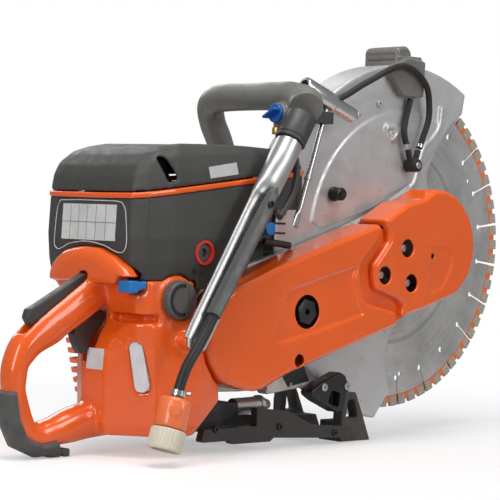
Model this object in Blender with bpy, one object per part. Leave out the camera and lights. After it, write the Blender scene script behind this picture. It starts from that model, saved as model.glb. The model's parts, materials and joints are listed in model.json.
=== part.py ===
"""Petrol rescue saw with a 400 mm cutting blade, modelled as its separate pieces.

Every size below is in millimetres in the saw's working axes: X forward towards the blade, Y to the left,
Z up from the floor, with Y = 0 on the middle of the rear handle. The root empty moves the whole saw so that
the middle of its base is the origin, and the meshes are written in metres.
"""

import math

import bmesh
import bpy
from mathutils import Matrix, Vector

MM = 0.001
GAP = 0.3                    # clearance kept between touching pieces
MERGE = 5e-6                 # metres: points closer than this are one point

# ---------------------------------------------------------------- driving dimensions
BASE_CENTRE = (19.44, -1.5)    # X and Y of the middle of the base, in the working axes
BLADE_RADIUS = 200.0
BLADE_Y = -10.0              # middle plane of the blade
SPINDLE = (200.0, 232.0)     # X and Z of the blade axis
CRANK = (-92.0, 139.0)       # X and Z of the crankshaft axis
ARM_LENGTH = math.dist(SPINDLE, CRANK)
ARM_TILT = math.atan2(SPINDLE[1] - CRANK[1], SPINDLE[0] - CRANK[0])

COVER_OUT = -95.0            # outer face of the belt covers
COVER_BACK = -50.0           # edge of the belt covers against the arm
ARM_BACK = -36.0             # inner face of the arm
WALL = 3.0

BELT_Y = (-82.0, -66.0)
DRUM_RADIUS = 34.0
PULLEY_RADIUS = 40.0
TENSIONER = (-15.0, 154.0)
COVER_NUTS = {"upper": (143.5, 226.5), "lower": (152.0, 186.0), "rear": (107.0, 195.0)}

GUARD_RADIUS = 213.0
GUARD_Y = (-33.0, 13.0)
GUARD_WALL = 2.5
GUARD_ANGLES = (60.0, 260.0)

TUBE_TOP = Vector((-30.0, -90.0, 372.0))       # axis of the front handle's right leg
TUBE_END = Vector((-192.0, -103.0, 116.0))
HANDLE_BAR_Z = 393.0

SLOTS = 24
SLOT_ROOT = 165.0
SLOT_HALF_ANGLE = 0.5        # degrees

FUEL_CAP = (-191.0, 167.0)
CAP_RADIUS = 20.5
CAP_Y = (-85.0, -76.0)

DECOMPRESSION = (-52.5, -60.0, 244.5)
TRIGGER_PIVOT = (-238.0, 148.0)
LOCKOUT_PIVOT = (-259.0, 178.0)


# ---------------------------------------------------------------- geometry helpers
def arm_point(along, across):
    """Working X and Z of a point given along and across the arm, from the crankshaft axis."""
    c, s = math.cos(ARM_TILT), math.sin(ARM_TILT)
    return (CRANK[0] + along * c - across * s, CRANK[1] + along * s + across * c)


def circle(centre, radius, sides=24, start=0.0, end=360.0):
    """Points of a circle, or of an arc that includes both ends, in X and Z."""
    whole = abs(end - start) >= 360.0
    steps = sides if whole else sides - 1
    angles = [math.radians(start + (end - start) * i / steps) for i in range(sides)]
    return [(centre[0] + radius * math.cos(a), centre[1] + radius * math.sin(a)) for a in angles]


def rounded(corners, steps=4):
    """A polygon given as (x, z, radius) corners, with each corner turned into an arc."""
    points = []
    count = len(corners)
    for i, (x, z, radius) in enumerate(corners):
        here = Vector((x, z))
        before = Vector(corners[i - 1][:2]) - here
        after = Vector(corners[(i + 1) % count][:2]) - here
        if radius <= 0:
            points.append((x, z))
            continue
        half = before.angle(after) / 2
        reach = min(radius / math.tan(half), 0.49 * before.length, 0.49 * after.length)
        start, end = before.normalized() * reach, after.normalized() * reach
        centre = (start + end).normalized() * (reach / math.cos(half))
        turn = (start - centre).angle(end - centre)
        for k in range(steps + 1):
            t = k / steps
            spoke = (start - centre) * math.sin((1 - t) * turn) + (end - centre) * math.sin(t * turn)
            points.append(tuple(here + centre + spoke / math.sin(turn)))
    return points


def area(outline):
    """Signed area of an outline; positive when it runs counter-clockwise in X and Z."""
    pairs = zip(outline, outline[1:] + outline[:1])
    return sum(a[0] * b[1] - b[0] * a[1] for a, b in pairs) / 2


def inset(outline, distance):
    """The outline moved inwards by a distance, with mitred corners whose arcs tighten or widen with it."""
    turn = 1 if area(outline) > 0 else -1
    moved = []
    for i, point in enumerate(outline):
        here = Vector(point[:2])
        a = (here - Vector(outline[i - 1][:2])).normalized()
        b = (Vector(outline[(i + 1) % len(outline)][:2]) - here).normalized()
        normal_a = Vector((-a.y, a.x)) * turn
        normal_b = Vector((-b.y, b.x)) * turn
        mitre = (normal_a + normal_b) / max(1 + normal_a.dot(normal_b), 0.35)
        bulge = 1 if a.cross(b) * turn > 0 else -1
        arc = [max(r - bulge * distance, 0.2) if r > 0 else 0 for r in point[2:]]
        moved.append((*(here + mitre * distance), *arc))
    return moved


def rings_to_mesh(rings, closed=False):
    """A bmesh through equal rings of points, capped at both ends unless it closes on itself."""
    bm = bmesh.new()
    rows = [[bm.verts.new(Vector(p) * MM) for p in ring] for ring in rings]
    pairs = list(zip(rows, rows[1:]))
    if closed:
        pairs.append((rows[-1], rows[0]))
    for low, high in pairs:
        for i in range(len(low)):
            j = (i + 1) % len(low)
            bm.faces.new((low[i], low[j], high[j], high[i]))
    if not closed:
        bm.faces.new(list(reversed(rows[0])))
        bm.faces.new(rows[-1])
    bmesh.ops.remove_doubles(bm, verts=bm.verts, dist=MERGE)
    bmesh.ops.recalc_face_normals(bm, faces=bm.faces)
    return bm


def prism(outline, y0, y1, edge0=0.0, edge1=0.0, steps=2):
    """An X-Z outline extruded along Y, with chamfers of edge0 and edge1 round its two faces.

    The outline is a list of points, or of (x, z, radius) corners to round.
    """
    levels = [(y0, edge0), (y0 + edge0, 0.0)] if edge0 else [(y0, 0.0)]
    levels += [(y1 - edge1, 0.0), (y1, edge1)] if edge1 else [(y1, 0.0)]
    rings = []
    for y, amount in levels:
        line = inset(outline, amount) if amount else outline
        if len(line[0]) > 2:
            line = rounded(line, steps)
        rings.append([(x, y, z) for x, z in line])
    return rings_to_mesh(rings)


def box(x0, x1, y0, y1, z0, z1):
    return prism([(x0, z0), (x1, z0), (x1, z1), (x0, z1)], y0, y1)


def lathe(profile, centre, axis=(0, 1, 0), sides=16):
    """A solid of revolution. The profile is a closed loop of (radius, height) about the axis."""
    axis = Vector(axis).normalized()
    side = axis.orthogonal().normalized()
    other = axis.cross(side)
    bm = bmesh.new()
    columns = []
    for radius, height in profile:
        base = Vector(centre) + axis * height
        if radius <= 0:
            columns.append([bm.verts.new(base * MM)])
            continue
        angles = [2 * math.pi * i / sides for i in range(sides)]
        columns.append([bm.verts.new((base + (side * math.cos(a) + other * math.sin(a)) * radius) * MM)
                        for a in angles])
    hollow = all(radius > 0 for radius, height in profile)
    pairs = list(zip(columns, columns[1:])) + ([(columns[-1], columns[0])] if hollow else [])
    for low, high in pairs:
        for i in range(sides):
            j = (i + 1) % sides
            corners = [low[i % len(low)], low[j % len(low)], high[j % len(high)], high[i % len(high)]]
            corners = list(dict.fromkeys(corners))
            if len(corners) > 2:
                bm.faces.new(corners)
    bmesh.ops.recalc_face_normals(bm, faces=bm.faces)
    return bm


def rod(centre, radius, h0, h1, axis=(0, 1, 0), sides=16, edge=0.0):
    """A plain cylinder with optional chamfers."""
    profile = [(0, h0), (radius - edge, h0), (radius, h0 + edge), (radius, h1 - edge), (radius - edge, h1),
               (0, h1)]
    if not edge:
        profile = [(0, h0), (radius, h0), (radius, h1), (0, h1)]
    return lathe(profile, centre, axis, sides)


def smooth_route(points, step):
    """Points about one step apart on a Catmull-Rom curve through the given points."""
    pts = [Vector(p) for p in points]
    pts = [2 * pts[0] - pts[1]] + pts + [2 * pts[-1] - pts[-2]]
    route = []
    for p0, p1, p2, p3 in zip(pts, pts[1:], pts[2:], pts[3:]):
        count = max(1, round((p2 - p1).length / step))
        for k in range(count):
            t = k / count
            route.append(0.5 * (2 * p1 + (p2 - p0) * t + (2 * p0 - 5 * p1 + 4 * p2 - p3) * t ** 2
                                + (3 * p1 - p0 - 3 * p2 + p3) * t ** 3))
    route.append(pts[-2])
    return route


def sweep_rings(path, sizes, across, sides=12, power=2.4, arc=(0.0, 360.0), grow=0.0):
    """Rings of a rounded section carried along a path.

    sizes holds (half depth, half width) at each point; the width lies along the direction `across`.
    """
    path = [Vector(p) for p in path]
    across = Vector(across)
    whole = arc[1] - arc[0] >= 360.0
    steps = sides if whole else sides - 1
    rings = []
    for i, point in enumerate(path):
        tangent = (path[min(i + 1, len(path) - 1)] - path[max(i - 1, 0)]).normalized()
        normal = across.cross(tangent).normalized()
        width = tangent.cross(normal)
        deep, wide = sizes[i][0] + grow, sizes[i][1] + grow
        ring = []
        for k in range(sides):
            a = math.radians(arc[0] + (arc[1] - arc[0]) * k / steps)
            c, s = math.cos(a), math.sin(a)
            u = math.copysign(abs(c) ** (2 / power), c) * deep
            v = math.copysign(abs(s) ** (2 / power), s) * wide
            ring.append(point + normal * u + width * v)
        rings.append(ring)
    return rings


# ---------------------------------------------------------------- object helpers
def material(name, colour, roughness, metallic=0.0):
    mat = bpy.data.materials.new(name)
    mat.use_nodes = True
    bsdf = mat.node_tree.nodes["Principled BSDF"]
    bsdf.inputs["Base Color"].default_value = (*colour, 1.0)
    bsdf.inputs["Roughness"].default_value = roughness
    bsdf.inputs["Metallic"].default_value = metallic
    return mat


def place(name, bm, mat, root, pivot=(0, 0, 0), smooth=35.0):
    """Makes a named object of the bmesh, with its origin at the pivot, under the root."""
    pivot = Vector(pivot) * MM
    bmesh.ops.translate(bm, verts=bm.verts, vec=-pivot)
    bmesh.ops.remove_doubles(bm, verts=bm.verts, dist=MERGE)
    bmesh.ops.triangulate(bm, faces=[f for f in bm.faces if len(f.verts) > 4])
    mesh = bpy.data.meshes.new(name)
    bm.to_mesh(mesh)
    bm.free()
    mesh.materials.append(mat)
    mesh.shade_smooth()
    mesh.set_sharp_from_angle(angle=math.radians(smooth))
    obj = bpy.data.objects.new(name, mesh)
    bpy.context.scene.collection.objects.link(obj)
    obj.parent = root
    obj.location = pivot
    return obj


def combine(base, tools, operation="DIFFERENCE"):
    """The base bmesh joined with, or cut by, each tool in turn. All of them are used up."""
    for tool in tools:
        meshes = []
        for bm in (base, tool):
            mesh = bpy.data.meshes.new("work")
            bm.to_mesh(mesh)
            bm.free()
            meshes.append(mesh)
        target, cutter = [bpy.data.objects.new("work", mesh) for mesh in meshes]
        for obj in (target, cutter):
            bpy.context.scene.collection.objects.link(obj)
        modifier = target.modifiers.new("boolean", "BOOLEAN")
        modifier.object = cutter
        modifier.operation = operation
        modifier.solver = "EXACT"
        bpy.context.view_layer.update()
        graph = bpy.context.evaluated_depsgraph_get()
        result = bpy.data.meshes.new_from_object(target.evaluated_get(graph))
        base = bmesh.new()
        base.from_mesh(result)
        for obj in (target, cutter):
            bpy.data.objects.remove(obj)
        for mesh in meshes + [result]:
            bpy.data.meshes.remove(mesh)
    return base


def join(base, tools):
    return combine(base, tools, "UNION")


def hose(name, points, diameter, mat, root):
    """A hose as a bevelled curve along a smooth route."""
    route = smooth_route(points, 2.2 * diameter)
    curve = bpy.data.curves.new(name, "CURVE")
    curve.dimensions = "3D"
    curve.bevel_depth = diameter / 2 * MM
    curve.bevel_resolution = 2
    curve.use_fill_caps = True
    spline = curve.splines.new("POLY")
    spline.points.add(len(route) - 1)
    for point, place_mm in zip(spline.points, route):
        point.co = (*(place_mm * MM), 1.0)
    curve.materials.append(mat)
    obj = bpy.data.objects.new(name, curve)
    bpy.context.scene.collection.objects.link(obj)
    obj.parent = root
    return obj


# ---------------------------------------------------------------- rear handle and tank
HANDLE_LOOP = [              # X, Z, half depth, half width from the tank round to the tank
    (-226, 186, 21, 18), (-262, 161, 20.5, 17), (-299, 137, 19.5, 16), (-328, 118, 16, 15.5),
    (-342, 98, 12.5, 15), (-344, 72, 11.5, 14), (-338, 46, 14, 14), (-329, 28, 14, 14),
    (-314, 22, 14, 14), (-296, 25, 15, 15), (-262, 33, 19, 17), (-215, 42, 22, 20)]

TANK_LEVELS = [              # Z, rear, crease X and Y, flank Y and its front X, left rear, left, front
    (22, -246, -212, -68, -76, -158, -206, 60, -146),
    (34, -250, -214, -73, -86, -156, -206, 66, -142),
    (60, -250.5, -216, -75, -91, -135, -204, 70, -139),
    (90, -252, -219, -75, -92, -140, -203, 72, -139),
    (108, -251, -221.5, -75, -92, -150, -204, 72, -138),
    (128, -242, -225, -74.5, -91, -158, -208, 72, -138),
    (146, -230, -228, -74, -84, -160, -214, 74, -138),
    (165, -238, -230, -74, -76, -163, -226, 75, -138),
    (186.5, -246, -230, -74, -75, -163, -240, 76, -138)]

DOME = [(67, 182), (66.5, 190), (62, 200), (53, 208), (41, 215), (25, 218.5), (7, 220.5), (-17, 219), (-42, 210.5),
        (-60, 200), (-70, 189.5), (-72, 182)]       # Y, Z of the round end of the tank under the filter cover

WINDOW_AT = Vector((-248.0, -28.0, 0.0))            # a point and the direction of the tank's slanted rear face
WINDOW_TURN = math.radians(-59.2)


def tank_ring(z, rear, crease, right, flank, flank_front, left_rear, left, front):
    """Plan outline of the tank at one height, counter-clockwise from the rear point."""
    return [(rear, 5, z), (rear + 3, -28, z), (crease - 7, right + 12, z), (crease + 3, right, z),
            (-204, right - 1, z), (-192, (2 * right + flank) / 3, z), (-179, (right + 4 * flank) / 5, z),
            (-168, flank, z), (flank_front, flank + 5, z), (flank_front, -58, z), (-152, -38, z), (front, -33, z),
            (front, 38, z), (-166, 42, z), (-178, left - 8, z), (-190, left, z), (left_rear, left - 4, z),
            (left_rear - 14, left - 19, z), (rear + 11, 27, z)]


def build_tank(mats, root):
    tank = rings_to_mesh([tank_ring(*level) for level in TANK_LEVELS])
    dome_rings = [[(x, y * k, 182 + (z - 182) * k) for y, z in DOME] for x, k in
                  ((-259, 0.7), (-256.5, 0.88), (-253, 0.98), (-250, 1.0), (-238.5, 1.0))]
    path = [(x, 0, z) for x, z, deep, wide in HANDLE_LOOP]
    sizes = [(deep, wide) for x, z, deep, wide in HANDLE_LOOP]
    loop = rings_to_mesh(sweep_rings(path, sizes, (0, 1, 0)))
    boss = rod((FUEL_CAP[0], 0, FUEL_CAP[1]), 26.5, -75.6, -60, sides=20, edge=2)
    leg_boss = rod((-186, 0, 124), 9, TUBE_END.y + 7.2, -60, sides=16)
    tank = join(tank, [rings_to_mesh(dome_rings), loop, boss, leg_boss])
    slot = [(-218, -15), (-221, -60), (-212, -65), (-212, -92), (-262, -92), (-262, -15)]
    slot = rings_to_mesh([[(x, y, z) for x, y in slot] for z in (142.5, 151)])
    trigger_room = box(-287, -228, -8, 8, 98, 157.5)
    lockout_room = prism([(-339, 128), (-327, 126), (-255, 171), (-237, 188), (-247, 200), (-327, 152)],
                         -6.5, 6.5)
    button_room = box(-275, -229.4, -100, -51.4, 173.2, 190)
    cap_room = rod((FUEL_CAP[0], 0, FUEL_CAP[1]), CAP_RADIUS + 1.5, -100, -75.6, sides=20)
    cover_room = prism(inset(REAR_COVER, -3), -110, -36)
    flap_room = box(-165.2, -120, -100, -60, 177.6, 200)
    tank = combine(tank, [slot, window_mesh(GAP, 8), trigger_room, lockout_room, button_room, cap_room,
                          cover_room, flap_room])
    place("rear_handle_tank", tank, mats["orange"], root)
    place("tank_window", window_mesh(0, 5), mats["window"], root)


def window_mesh(grow, deep):
    """The tank's long window, or the room for it, on the slanted face right of the handle."""
    outline = inset([(26, 122.5, 6), (41, 122.5, 6), (52, 70, 6), (35.5, 69.5, 6)], -grow)
    window = prism(outline, -1 - 5 * grow, deep, 0 if grow else 1, 0)
    bmesh.ops.rotate(window, cent=(0, 0, 0), matrix=Matrix.Rotation(WINDOW_TURN, 3, "Z"), verts=window.verts)
    bmesh.ops.translate(window, verts=window.verts, vec=WINDOW_AT * MM)
    return window


def build_handle_bumper(mats, root):
    """Soft grey bumper round the outside of the lower rear corner, cut flat where it stands."""
    first, last = 5, 10
    path = [(x, 0, z) for x, z, deep, wide in HANDLE_LOOP]
    sizes = [(deep, wide) for x, z, deep, wide in HANDLE_LOOP]
    outer = sweep_rings(path, sizes, (0, 1, 0), 7, arc=(-68, 68), grow=5.5)[first:last]
    inner = sweep_rings(path, sizes, (0, 1, 0), 7, arc=(-68, 68), grow=GAP + 0.2)[first:last]
    lower = Vector((0, 0, -3))
    rings = [[Vector(p) + lower for p in a] + list(reversed(b)) for a, b in zip(outer, inner)]
    lug = box(-304, -277, -13, 13, -2, 8.5)
    bumper = combine(join(rings_to_mesh(rings), [lug]), [box(-400, -200, -60, 60, -40, 0),
                                                         box(-290, -285, -20, 20, -2, 3)])
    place("handle_bumper", bumper, mats["grey_rubber"], root)


def build_controls(mats, root):
    trigger = [(-250, 152.5, 2), (-233, 152.5, 3), (-230, 144, 3), (-234, 137, 3), (-244, 127, 8), (-249, 116, 8),
               (-254, 107, 3), (-261, 106, 3), (-267, 115, 10), (-272.5, 128, 4), (-270, 135, 3), (-258, 145, 4)]
    place("throttle_trigger", prism(trigger, -6, 6, 1, 1), mats["trigger"], root,
          (TRIGGER_PIVOT[0], 0, TRIGGER_PIVOT[1]))
    lockout = [(-333, 145, 3), (-330, 154, 4), (-319, 159, 4), (-261, 191, 3), (-251, 190, 2), (-255, 180, 2),
               (-297, 152, 4), (-327, 136, 3)]
    place("throttle_lockout", prism(lockout, -5.5, 5.5, 1, 1), mats["dark_grey"], root,
          (LOCKOUT_PIVOT[0], 0, LOCKOUT_PIVOT[1]))
    button = [(-252.7, 173.6, 1.5), (-252.7, 186.6, 1.5), (-243, 186.6, 1), (-237, 185.2, 2), (-230, 186.6, 1),
              (-229.8, 177.5, 1), (-238, 177.5, 2), (-243, 173.6, 2)]
    place("choke_button", prism(button, -72, -52, 1, 1), mats["blue"], root, (-241, -62, 181))


def build_fuel_cap(mats, root):
    x, z = FUEL_CAP
    groove = [(13.5, -1), (17.2, -1), (17.2, 2.6), (13.5, 2.6)]
    cap = lathe([(0, 0), (19, 0), (CAP_RADIUS, 1.5), (CAP_RADIUS, 9), (0, 9)], (x, CAP_Y[0], z), sides=20)
    ring = lathe(groove, (x, CAP_Y[0], z), sides=20)
    right_half = box(x + 4, x + 30, CAP_Y[0] - 3, CAP_Y[0] + 5, z - 30, z + 30)
    place("fuel_cap", combine(cap, [combine(ring, [right_half])]), mats["cap_grey"], root,
          (x, CAP_Y[0], z))
    inner = (13.5 + GAP, 17.2 - GAP)
    bail = lathe([(inner[0], -0.8), (inner[1], -0.8), (inner[1], 2.3), (inner[0], 2.3)],
                 (x, CAP_Y[0], z), sides=20)
    keep = box(x + 2 - GAP, x + 30, CAP_Y[0] - 3, CAP_Y[0] + 5, z - 30, z + 30)
    place("cap_bail", combine(bail, [keep]), mats["dark_grey"], root, (x + 1, CAP_Y[0] + 1, z))


# ---------------------------------------------------------------- filter covers
COVER_PLAN = [               # X, Y at the seam, counter-clockwise seen from above
    (-245, 66), (-248, 0), (-244, -60), (-232, -74), (-200, -78), (-110, -77), (-90, -75), (-66, -72),
    (-8, -64), (6, -56), (7, -41), (-19, -38), (-20, 0), (-19, 40), (-28, 62), (-66, 80), (-90, 90),
    (-200, 97), (-229, 94), (-241, 83)]


def seam_height(x):
    """Height of the seam between the two cover shells, a plane that rises forward."""
    return 275 + 0.135 * (x + 241)


def cover_ring(grow_out, lift, squeeze=1.0):
    centre = Vector((-110, 0))
    ring = []
    outline = inset([(x, y) for x, y in COVER_PLAN], -grow_out)
    for x, y in outline:
        place_xy = centre + (Vector((x, y)) - centre) * squeeze
        ring.append((place_xy.x, place_xy.y, lift(place_xy.x)))
    return ring


def base_bottom(x):
    """Lower edge of the filter base: level beside the tank, high over the cylinder."""
    return 187 + 79 / (1 + math.exp(-(x + 82) / 5))


def build_filter_covers(mats, root):
    base = rings_to_mesh([cover_ring(-4, lambda x: 187), cover_ring(-0.5, lambda x: 205),
                          cover_ring(1.5, lambda x: 232), cover_ring(0, lambda x: seam_height(x) - 3)])
    base_hole = rings_to_mesh([cover_ring(-7, lambda x: 185), cover_ring(-3.5, lambda x: 206),
                               cover_ring(-1.5, lambda x: 233), cover_ring(-3, lambda x: seam_height(x) + 2)])
    step = prism([(-124, 180), (-112, 189.5), (-100, 191)]
                 + [(x, base_bottom(x)) for x in (-92, -86, -82, -78, -72, -64, -50, 30)] + [(30, 180)], -100, 100)
    crank_room = rod((CRANK[0], 0, CRANK[1]), 60.5, 40, 84.5, sides=20)
    starter_room = prism(inset(STARTER, -1), 81.5, 130)
    notch_line = [(y, z) for y, z in inset(DOME, -0.6)]
    notch = rings_to_mesh([[(x, y, z) for y, z in notch_line] for x in (-290, -233)])
    screw_hole = rod((-157, 0, 217), 12, -90, -60, sides=20)
    cap_notch = rod((FUEL_CAP[0], 0, FUEL_CAP[1]), 27.5, -95, -50, sides=20)
    flap = box(-163.8, -149, -75.5, -72, 178, 194)
    base = join(base, [flap])
    base = combine(base, [base_hole, screw_hole, cap_notch, notch, step, crank_room, starter_room])
    place("filter_base", base, mats["cover"], root)

    seal = rings_to_mesh([cover_ring(0.4, lambda x: seam_height(x) - 2.2),
                          cover_ring(0.4, lambda x: seam_height(x) + 2.4)])
    seal_hole = rings_to_mesh([cover_ring(-4, lambda x: seam_height(x) - 6),
                               cover_ring(-4, lambda x: seam_height(x) + 6)])
    place("cover_seal", combine(seal, [seal_hole]), mats["orange"], root)

    def crown(share):
        def lift(x):
            top = 334 - 22 * max(0.0, (-150 - x) / 98) ** 2 - 12 * max(0.0, (x + 50) / 57) ** 2
            low = seam_height(x) + 3 + GAP
            return low + (top - low) * share
        return lift

    shell = [cover_ring(0, crown(share), scale) for share, scale in
             ((0, 1.0), (0.45, 0.985), (0.75, 0.95), (0.95, 0.86), (1.0, 0.74))]
    inner = [cover_ring(-3, lambda x, share=share: crown(share)(x) - drop, scale) for share, scale, drop in
             ((0, 1.0, 2), (0.45, 0.98, 2), (0.75, 0.94, 3), (0.95, 0.84, 3))]
    cover = combine(rings_to_mesh(shell), [rings_to_mesh(inner)])
    place("filter_cover", cover, mats["cover"], root)


def build_engine(mats, root):
    place("air_filter", box(-215, -118, -50, 55, 232, 268), mats["paper"], root)
    carburettor = join(box(-200, -160, -22, 22, 196, 226), [rod((-180, 0, 211), 13, -18, 60, (1, 0, 0), 16)])
    place("carburettor", carburettor, mats["cast"], root)

    fins = box(-90, -30, -34, 32, 200.4, 264)
    for level in range(6):
        z = 206 + level * 10.8
        right = -56 if z > 228 else -34
        fins = join(fins, [box(-100, -17.5, right, 44, z, z + 2.4)])
    bar = rod((-24, -50, 228), 4, -22, 20, (1, 0, -0.1), 12, edge=1)
    fins = join(fins, [box(-90, -34, -50, -20, 230, 264), bar])
    fins = combine(fins, [rod(DECOMPRESSION, 6.3, -10, 19, sides=16)])
    place("cylinder", fins, mats["dark_metal"], root)
    plug = join(rod((-60, -6, 0), 6, 264.3, 286, (0, 0, 1), 12), [rod((-60, -6, 0), 9, 270, 276, (0, 0, 1), 6)])
    place("spark_plug", plug, mats["ceramic"], root)
    valve = join(rod(DECOMPRESSION, 5.6, -6, 14, edge=1), [rod(DECOMPRESSION, 7.4, -10, -2.2, edge=1.5)])
    place("decompression_valve", valve, mats["blue"], root, DECOMPRESSION)

    case = prism(rounded([(-132, 64, 6), (-60, 62, 6), (20, 64, 5), (44, 70, 5), (26, 98, 6), (-18, 120, 4),
                          (-18, 196, 3), (-104, 196, 3), (-132, 175, 8)], 2), -35.5, 44)
    foot = prism(rounded([(-30, 58, 3), (40, 66, 4), (24, 97, 4), (-22, 92, 4)], 2), -46, -30)
    case = join(case, [foot])
    case = combine(case, [rod((CRANK[0], 0, CRANK[1]), 12 + GAP, -60, 60, sides=20)])
    place("crankcase", case, mats["cast"], root)

    muffler = prism(rounded([(-128, 20, 5), (-62, 26, 5), (-62, 50, 5), (-128, 56, 5)], 2), -38, 30)
    pipe = lathe([(0, 0), (9.5, 0), (9.5, 34), (11, 34), (11, 40), (9.5, 40), (5, 52), (0, 52)],
                 (-63, -30, 45), (1, 0, 0.02), 16)
    place("muffler", join(muffler, [pipe]), mats["silver"], root)


STARTER = [                  # X, Z, corner radius of the starter housing
    (-206, 124, 6), (-184, 42, 14), (-120, 40, 30), (-44, 66, 40), (-24, 140, 50), (-60, 206, 40), (-150, 208, 40),
    (-200, 178, 16)]


def build_starter(mats, root):
    axle = (CRANK[0], 0, CRANK[1])
    shell = combine(prism(STARTER, 83, 101, 0, 4), [prism(inset(STARTER, WALL), 86, 98),
                                                    rod(axle, 57, 70, 90, sides=20)])
    cup = lathe([(55.5, 46), (59.5, 46), (59.5, 84), (55.5, 84)], axle, sides=20)
    housing = join(shell, [cup])
    louvres = [box(-230, -178, 70, 110, z, z + 4.5) for z in range(50, 118, 11)]
    slots = [box(CRANK[0] + x - 9, CRANK[0] + x + 9, 90, 110, CRANK[1] - 3, CRANK[1] + 3) for x in (-31, 31)]
    rope_hole = rod((-92, 0, 196), 4, 90, 110, sides=12)
    housing = combine(housing, louvres + slots + [rope_hole])
    place("starter_housing", housing, mats["orange"], root)

    pulley = lathe([(10.3, 66), (30, 66), (30, 69), (24, 70), (24, 73), (30, 74), (30, 77), (10.3, 77)], axle,
                   sides=16)
    place("starter_pulley", pulley, mats["dark_grey"], root, axle)
    grip = join(rod((-92, 104, 196), 5.5, 0, 8, sides=12, edge=1),
                [prism([(-116, 190, 4), (-68, 190, 4), (-70, 202, 5), (-114, 202, 5)], 107, 118, 1, 2, 2),
                 rod((-92, 0, 196), 1.6, 88, 106, sides=8)])
    place("starter_grip", grip, mats["dark_grey"], root, (-92, 104, 196))


def build_drive(mats, root):
    crank = (CRANK[0], 0, CRANK[1])
    shaft = lathe([(0, -88), (8, -88), (8, -48), (12, -48), (12, 48), (8, 48), (8, 65), (6, 65), (6, 82),
                   (0, 82)], crank, sides=20)
    place("crankshaft", shaft, mats["steel"], root, crank)
    flywheel = lathe([(8 + GAP, 49), (20, 49), (22, 52), (50, 52), (50, 62), (16, 62), (8 + GAP, 62)], crank,
                     sides=20)
    place("flywheel", flywheel, mats["cast"], root, crank)
    drum = lathe([(8 + GAP, -86), (14, -86), (14, BELT_Y[0]), (DRUM_RADIUS, BELT_Y[0]),
                  (DRUM_RADIUS, BELT_Y[1]), (36, BELT_Y[1]), (36, -52), (8 + GAP, -52)], crank, sides=20)
    place("clutch_drum", drum, mats["steel"], root, crank)

    spindle_at = (SPINDLE[0], 0, SPINDLE[1])
    spindle = lathe([(0, -90), (8, -90), (8, -36), (10, -36), (10, -17), (34, -16), (34, -12.3),
                     (9.9, -12.3), (9.9, 1), (0, 1)], spindle_at, sides=20)
    spindle = combine(spindle, [rod(spindle_at, 4 + GAP, -10, 3, sides=12)])
    place("spindle", spindle, mats["steel"], root, spindle_at)
    pulley = lathe([(8 + GAP, -86), (16, -86), (16, BELT_Y[0] - 1), (PULLEY_RADIUS, BELT_Y[0] - 1),
                    (PULLEY_RADIUS, BELT_Y[1]), (8 + GAP, BELT_Y[1])], spindle_at, sides=20)
    place("front_pulley", pulley, mats["cast"], root, spindle_at)
    flange = lathe([(10.3, -7.7), (34, -7.7), (34, -5), (20, -2), (10.3, -2)], spindle_at, sides=20)
    place("outer_flange", flange, mats["steel"], root, spindle_at)
    bolt = join(rod(spindle_at, 4, -9, 3, sides=12), [rod(spindle_at, 16, 1.4, 3.4, sides=16),
                                                      rod(spindle_at, 9.5, 3, 10, sides=6)])
    place("blade_bolt", bolt, mats["steel"], root, spindle_at)
    place("drive_belt", belt_mesh(), mats["black"], root)


def belt_loop(extra):
    """Loop round the clutch drum and the front pulley, tangent to both and a little outside them."""
    lean = math.degrees(math.asin((PULLEY_RADIUS - DRUM_RADIUS) / ARM_LENGTH))
    tilt = math.degrees(ARM_TILT)
    front = circle(SPINDLE, PULLEY_RADIUS + extra, 12, tilt - 90 - lean, tilt + 90 + lean)
    rear = circle(CRANK, DRUM_RADIUS + extra, 12, tilt + 90 + lean, tilt + 270 - lean)
    return front + rear


def belt_mesh():
    y0, y1 = BELT_Y[0] + 1, BELT_Y[1] - 1
    outer, inner = belt_loop(5.0), belt_loop(1.2)
    rings = [[(x, y0, z) for x, z in outer], [(x, y1, z) for x, z in outer],
             [(x, y1, z) for x, z in inner], [(x, y0, z) for x, z in inner]]
    return rings_to_mesh(rings, closed=True)


# ---------------------------------------------------------------- blade and guard
def blade_outline():
    """Rim of the blade: radial slots between its segments."""
    pitch = 360 / SLOTS
    points = []
    for slot in range(SLOTS):
        middle = (slot + 0.5) * pitch
        points += [(SLOT_ROOT, middle - SLOT_HALF_ANGLE), (SLOT_ROOT, middle + SLOT_HALF_ANGLE)]
        first = middle + SLOT_HALF_ANGLE
        arc = pitch - 2 * SLOT_HALF_ANGLE
        points += [(BLADE_RADIUS, first + arc * k / 3) for k in range(4)]
    return [(SPINDLE[0] + r * math.cos(math.radians(a)), SPINDLE[1] + r * math.sin(math.radians(a)))
            for r, a in points]


def build_blade(mats, root):
    spindle_at = (SPINDLE[0], 0, SPINDLE[1])
    blade = prism(blade_outline(), BLADE_Y - 1.8, BLADE_Y + 1.8)
    holes = [rod(spindle_at, 10 + GAP, -30, 10, sides=16)]
    for angle in (29, -80):
        a = math.radians(angle)
        holes.append(rod((SPINDLE[0] + 163 * math.cos(a), 0, SPINDLE[1] + 163 * math.sin(a)), 3, -30, 10, sides=8))
    place("cutting_blade", combine(blade, holes), mats["blade"], root, spindle_at)


def guard_outline(radius):
    """Side of the guard: a round back, and a front edge that leaves the cutting zone open."""
    back = circle(SPINDLE, radius, 26, *GUARD_ANGLES)
    front = [(189, 56), (179, 92), (190, 130), (222, 190), (240, 232), (246, 270), (242, 308), (247, 328),
             (261, 350), (281, 376), (302, 392)]
    return back + front


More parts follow.
